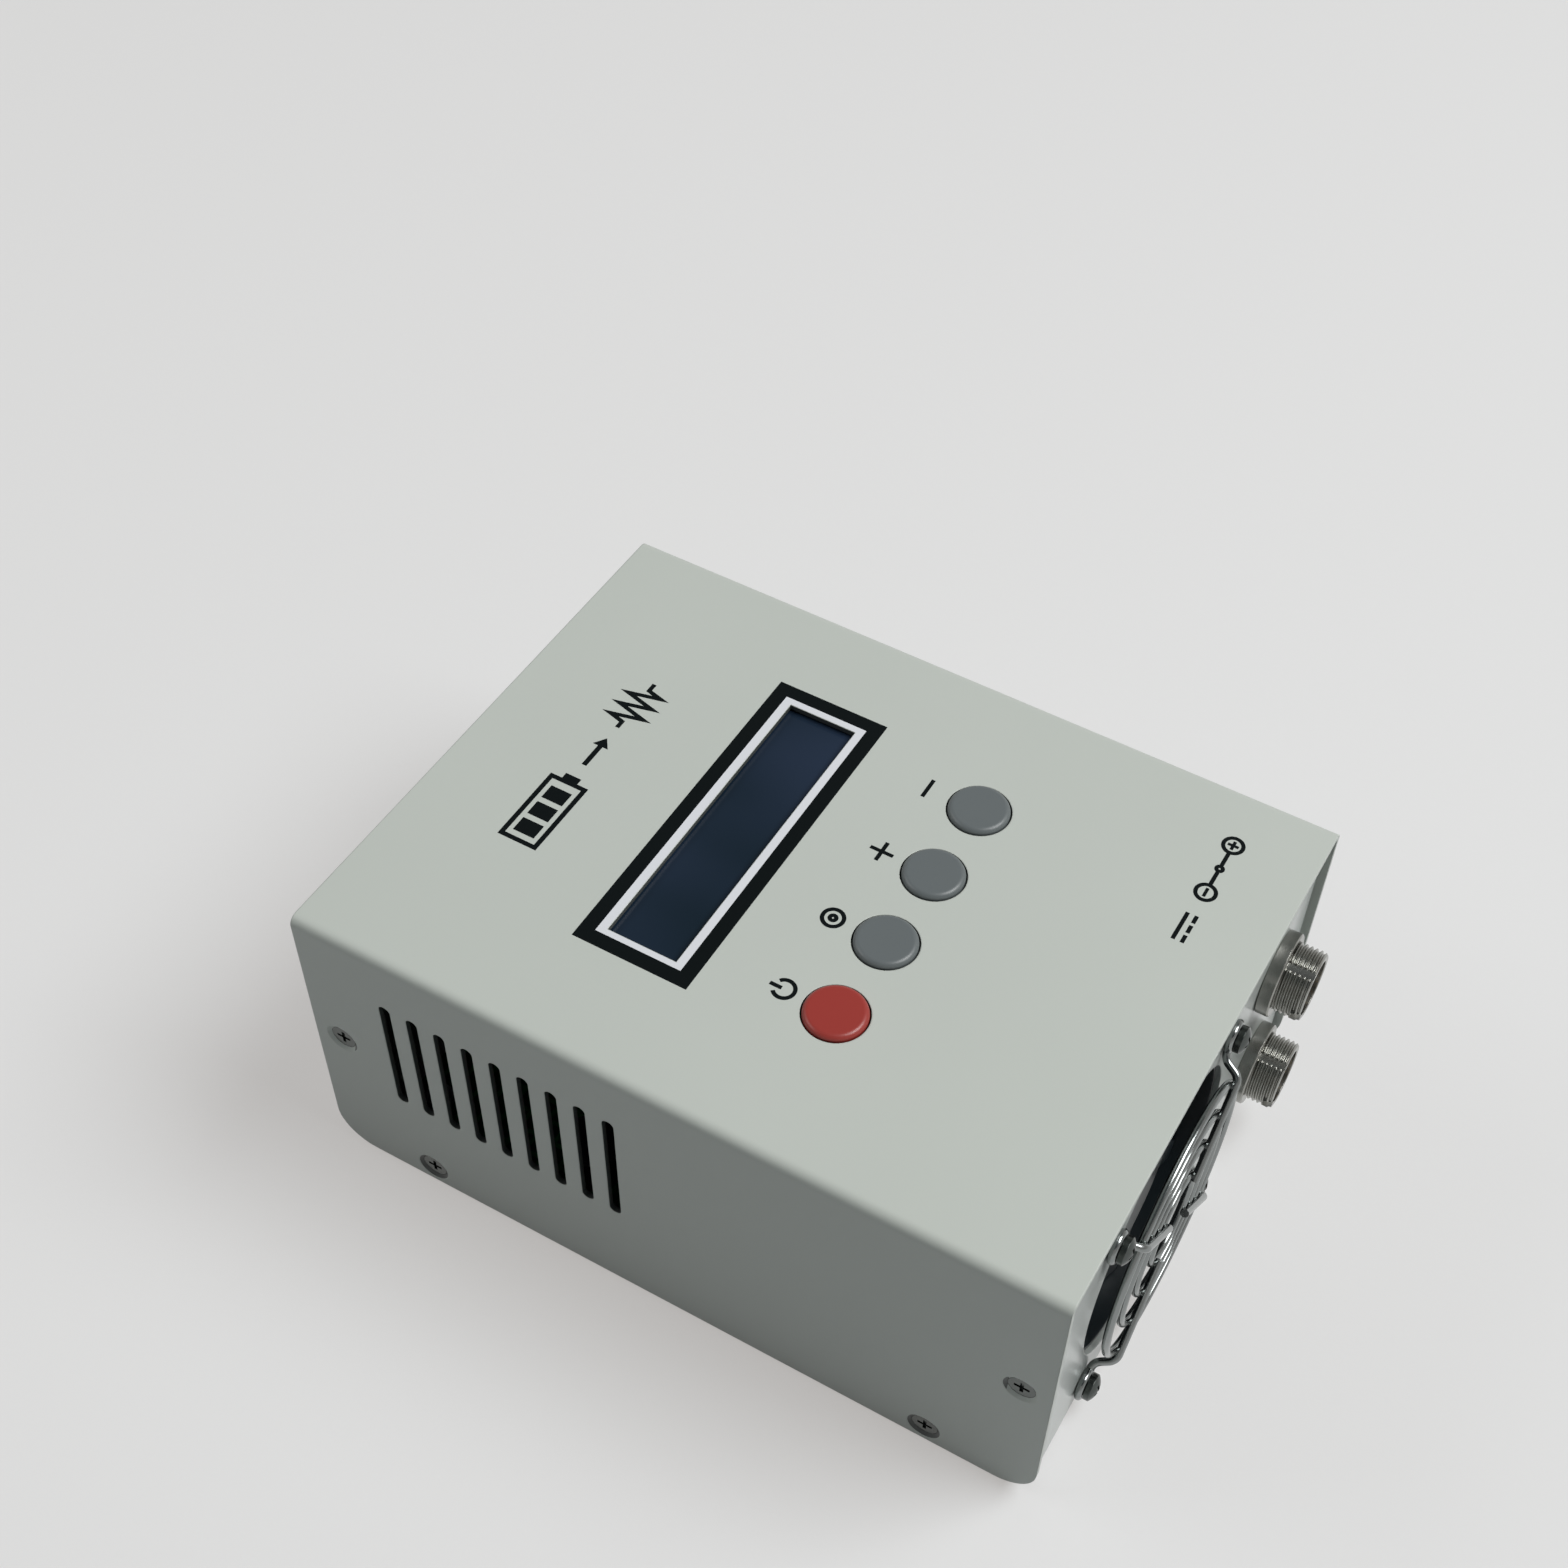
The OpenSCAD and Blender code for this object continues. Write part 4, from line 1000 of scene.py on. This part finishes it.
@dataclass
class ThreadedShell:
    """A round socket's shell with a real thread, in place of the plain one."""

    node: str
    thread_r: float = 7.2 * MM
    thread_depth: float = 0.5 * MM
    pitch: float = 1.0 * MM
    groove_reach: float = 1.25
    groove_slope: float = 1.5
    bore_r: float = 5.6 * MM
    bore_edge: float = 0.1 * MM
    rear_r: float = 6.9 * MM
    flange_r: float = 8.6 * MM
    flange_t: float = 2.8 * MM
    flange_edge: float = 0.25 * MM
    out: float = 8.4 * MM
    rear: float = 9.0 * MM
    chamfer: float = 0.5 * MM
    flat_turn: float = math.radians(235)
    flat_r: float = 6.3 * MM
    flat_span: float = math.radians(60)
    notch_turn: float = math.radians(195)
    notch_half: float = 1.3 * MM
    notch_depth: float = 1.8 * MM
    key_turn: float = math.radians(112)
    key_half: float = 0.95 * MM
    key_r: float = 6.6 * MM
    turn_steps: int = 180
    pitch_rows: int = 10

    def beside(self, angle: float, turn: float, half: float) -> bool:
        """Whether an angle is within half a cut's width of the cut's own angle."""
        return abs(math.sin(angle - turn)) * self.thread_r < half and math.cos(angle - turn) > 0

    def thread(self, angle: float, height: float) -> float:
        """Radius of the thread at one place.

        Args:
            angle: Angle round the axis in radians.
            height: Distance from the panel.

        Returns:
            The radius, cut down by the chamfer, the key slot and the flat.
        """
        phase = (height / self.pitch - angle / math.tau) % 1.0
        groove = self.groove_reach - abs(2 * phase - 1) * self.groove_slope
        radius = self.thread_r - self.thread_depth * min(1.0, max(0.0, groove))
        radius = min(radius, self.thread_r - self.chamfer + (self.out - height))
        if self.beside(angle, self.key_turn, self.key_half):
            radius = min(radius, self.key_r)
        off_flat = math.cos(angle - self.flat_turn)
        return min(radius, self.flat_r / off_flat) if off_flat > math.cos(self.flat_span) else radius

    def rim(self, angle: float) -> float:
        """Height of the shell's rim, lower in the notch."""
        in_notch = self.beside(angle, self.notch_turn, self.notch_half)
        return self.out - self.notch_depth if in_notch else self.out

    def section(self, angle: float) -> list[Point]:
        """Closed section at one angle, with rows that follow the thread's helix.

        Args:
            angle: Angle round the axis in radians.

        Returns:
            Pairs of radius and height, starting at the rear of the bore.
        """
        rim = self.rim(angle)
        edge = self.flange_edge
        line = [(self.bore_r, -self.rear), (self.rear_r, -self.rear), (self.rear_r, 0.0),
                (self.flange_r - edge, 0.0), (self.flange_r, edge),
                (self.flange_r, self.flange_t - edge), (self.flange_r - edge, self.flange_t)]
        rows = math.ceil((self.out - self.flange_t) / self.pitch * self.pitch_rows)
        for row in range(-self.pitch_rows, rows + 1):
            height = self.flange_t + (row / self.pitch_rows + angle / math.tau) * self.pitch
            height = min(max(height, self.flange_t), rim)
            line.append((self.thread(angle, height), height))
        return [*line, (self.bore_r + self.bore_edge, rim), (self.bore_r, rim - self.bore_edge)]

    def build(self) -> bpy.types.Object:
        """Build the shell, and let it stand for its node.

        Returns:
            The shell.
        """
        spot = middle(self.node)
        front = Vector((spot.x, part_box(self.node)[0].y + self.out, spot.z))
        angles = [math.tau * step / self.turn_steps for step in range(self.turn_steps + 1)]
        pen = Mesher()
        pen.sweep([[front + Vector((r * math.cos(a), -h, r * math.sin(a))) for r, h in self.section(a)]
                   for a in angles], closed=False, capped=False)
        piece = report(pen.build(self.node + "_threaded", SHELL_NICKEL, smooth=True), "case")
        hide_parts(self.node)
        return piece


@dataclass
class WireGuard:
    """The fan's welded wire guard, round and smooth, in place of the plain one."""

    wire_r: float = 0.8 * MM
    ring_radii: tuple[float, ...] = (9 * MM, 15 * MM, 21 * MM, 27 * MM)
    ring_rise: float = 3.35 * MM
    ring_steps: int = 120
    legs: int = 4
    leg_rise: float = 4.55 * MM
    leg_end: float = 8 * MM
    bend_r: float = 2.4 * MM
    bend: float = math.radians(60)
    bend_steps: int = 10
    loop_r: float = 2.6 * MM
    loop_reach: float = 50 * MM / math.sqrt(2)
    loop_steps: int = 50

    def __post_init__(self) -> None:
        """Find the middle of the guard's back, where its loops rest."""
        spot = middle("fan_guard")
        self.back = Vector((spot.x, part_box("fan_guard")[1].y, spot.z))
        self.outwards = Vector((0.0, -1.0, 0.0))

    def spot(self, turn: float, reach: float, rise: float) -> Vector:
        """A point at an angle, a distance from the axis and a height over the guard's back."""
        return self.back + Vector((reach * math.cos(turn), -rise, reach * math.sin(turn)))

    def circle(self, centre: Vector, radius: float, steps: int) -> list[Vector]:
        """Points of a circle that faces forwards."""
        angles = [math.tau * step / steps for step in range(steps)]
        return [centre + radius * Vector((math.cos(a), 0.0, math.sin(a))) for a in angles]

    def leg_line(self) -> list[Point]:
        """Run of a leg from its loop over two bends to its inner end.

        Returns:
            Pairs of distance from the axis and height.
        """
        lift = self.leg_rise - self.wire_r
        start = self.loop_reach - self.loop_r - self.wire_r / 2
        riser = (lift - 2 * self.bend_r * (1 - math.cos(self.bend))) / math.sin(self.bend)
        step = start - 2 * self.bend_r * math.sin(self.bend) - riser * math.cos(self.bend)
        angles = [self.bend * number / self.bend_steps for number in range(self.bend_steps + 1)]
        offsets = [(self.bend_r * math.sin(a), self.bend_r * (1 - math.cos(a))) for a in angles]
        lower = [(start - along, self.wire_r + up) for along, up in offsets]
        upper = [(step + along, self.leg_rise - up) for along, up in reversed(offsets)]
        return [*lower, *upper, (self.leg_end, self.leg_rise)]

    def draw_leg(self, pen: Mesher, turn: float) -> None:
        """Draw one leg and its loop.

        Args:
            pen: Mesh under construction.
            turn: Angle of the leg in radians.
        """
        across = Vector((-math.sin(turn), 0.0, math.cos(turn)))
        leg = [self.spot(turn, reach, rise) for reach, rise in self.leg_line()]
        pen.wire(leg, across, self.wire_r, closed=False)
        eye = self.spot(turn, self.loop_reach, self.wire_r)
        pen.wire(self.circle(eye, self.loop_r, self.loop_steps), self.outwards, self.wire_r, closed=True)

    def build(self) -> bpy.types.Object:
        """Build the guard, and let it stand for its node.

        Returns:
            The guard.
        """
        pen = Mesher()
        for radius in self.ring_radii:
            ring = self.circle(self.spot(0.0, 0.0, self.ring_rise), radius, self.ring_steps)
            pen.wire(ring, self.outwards, self.wire_r, closed=True)
        for number in range(self.legs):
            self.draw_leg(pen, math.tau * (number + 0.5) / self.legs)
        piece = report(pen.build("fan_guard_wire", FINISHES["bright_chrome"], smooth=True), "case")
        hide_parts("fan_guard")
        return piece


@dataclass
class Lamp:
    """One soft light."""

    name: str
    place: Place
    aim: Place
    size: Point
    power: float

    def build(self) -> None:
        """Add the light to the scene."""
        light = bpy.data.lights.new(self.name, "AREA")
        light.shape = "RECTANGLE"
        light.size, light.size_y = self.size
        light.energy = self.power
        lamp = bpy.data.objects.new(self.name, light)
        lamp.location = self.place
        lamp.rotation_mode = "QUATERNION"
        lamp.rotation_quaternion = (Vector(self.aim) - Vector(self.place)).to_track_quat("-Z", "Y")
        bpy.context.scene.collection.objects.link(lamp)
        LOG.info("%s is lit", self.name)


@dataclass
class Floor:
    """A pale round floor that sweeps up into a wall all round."""

    flat_r: float = 2.2
    drop: float = 0.2 * MM
    thickness: float = 20 * MM
    sweep_r: float = 1.0
    wall_top: float = 2.4
    angle_step: int = 5

    def section(self) -> list[Point]:
        """Section of the floor and its wall.

        Returns:
            Pairs of radius and height.
        """
        angles = [math.radians(angle) for angle in range(0, QUARTER_TURN + 1, self.angle_step)]
        bend = [(self.flat_r + self.sweep_r * math.sin(a), self.sweep_r * (1 - math.cos(a)) - self.drop)
                for a in angles]
        wall_r = self.flat_r + self.sweep_r
        outer, low = wall_r + self.thickness, -self.drop - self.thickness
        wall = [(wall_r, self.wall_top), (outer, self.wall_top), (outer, low)]
        return [(0.0, -self.drop), *bend, *wall, (0.0, low)]

    def build(self) -> None:
        """Lay the floor under the object."""
        turns = [math.radians(angle) for angle in range(0, FULL_TURN, self.angle_step)]
        pen = Mesher()
        pen.sweep([[Vector((r * math.cos(a), r * math.sin(a), z)) for r, z in self.section()]
                   for a in turns], closed=True)
        pen.build("floor", FLOOR, smooth=True)
        LOG.info("floor is staged")


@dataclass
class Camera:
    """The camera at the photograph's viewing angle, found by a fit to the case's edges."""

    sensor_mm: float = 36.0
    focal_px: float = 2212.07
    centre_px: Point = (878.4, 858.9)
    eye: Place = (-227.3 * MM, -120.7 * MM, 381.9 * MM)
    forward: Place = (0.57608, 0.28169, -0.76732)
    right: Place = (0.48306, -0.87460, 0.04159)
    clip: Point = (0.01, 20.0)

    def build(self) -> None:
        """Add the camera to the scene and look through it."""
        data = bpy.data.cameras.new("camera")
        data.sensor_width = self.sensor_mm
        data.lens = self.focal_px / IMAGE_PX * self.sensor_mm
        data.shift_x = (IMAGE_PX / 2 - self.centre_px[0]) / IMAGE_PX
        data.shift_y = (self.centre_px[1] - IMAGE_PX / 2) / IMAGE_PX
        data.clip_start, data.clip_end = self.clip
        camera = bpy.data.objects.new("camera", data)
        ahead = Vector(self.forward).normalized()
        side = Vector(self.right)
        side = (side - ahead * side.dot(ahead)).normalized()
        turn = Matrix((side, side.cross(ahead), -ahead)).transposed().to_4x4()
        camera.matrix_world = Matrix.Translation(self.eye) @ turn
        bpy.context.scene.collection.objects.link(camera)
        bpy.context.scene.camera = camera


@dataclass
class Studio:
    """Floor, lights and camera."""

    sky: float = 0.13
    sky_colour: Colour = (0.88, 0.96, 1.0)
    lamps: tuple[Lamp, ...] = (
        Lamp("key_light", place=(0.5, -1.1, 1.75), aim=(0.0, 0.0, 0.05), size=(1.2, 1.2), power=43.5),
        Lamp("back_light", place=(-0.3, 0.9, 0.9), aim=(0.0, 0.0, 0.05), size=(0.8, 0.4), power=3.0),
    )

    def build_sky(self) -> None:
        """Fill the world with a weak even light."""
        world = bpy.data.worlds.new("studio")
        world.use_nodes = True
        back = world.node_tree.nodes["Background"]
        back.inputs["Color"].default_value = (*self.sky_colour, 1.0)
        back.inputs["Strength"].default_value = self.sky
        bpy.context.scene.world = world

    def build(self) -> None:
        """Set up the whole studio."""
        bpy.context.scene.view_settings.view_transform = "Standard"
        Floor().build()
        self.build_sky()
        for lamp in self.lamps:
            lamp.build()
        Camera().build()


def main() -> None:
    """Dress the frame, build the pieces and set up the studio."""
    logging.basicConfig(level=logging.INFO, format="%(message)s")
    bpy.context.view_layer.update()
    PackedNodes().dress()
    for printed in (WindowPrint(), KeySigns(), Heading(), PolaritySign()):
        printed.build()
    for node in ("upper_shell", "lower_shell"):
        ThreadedShell(node).build()
    WireGuard().build()
    Studio().build()


if __name__ == "__main__":
    main()
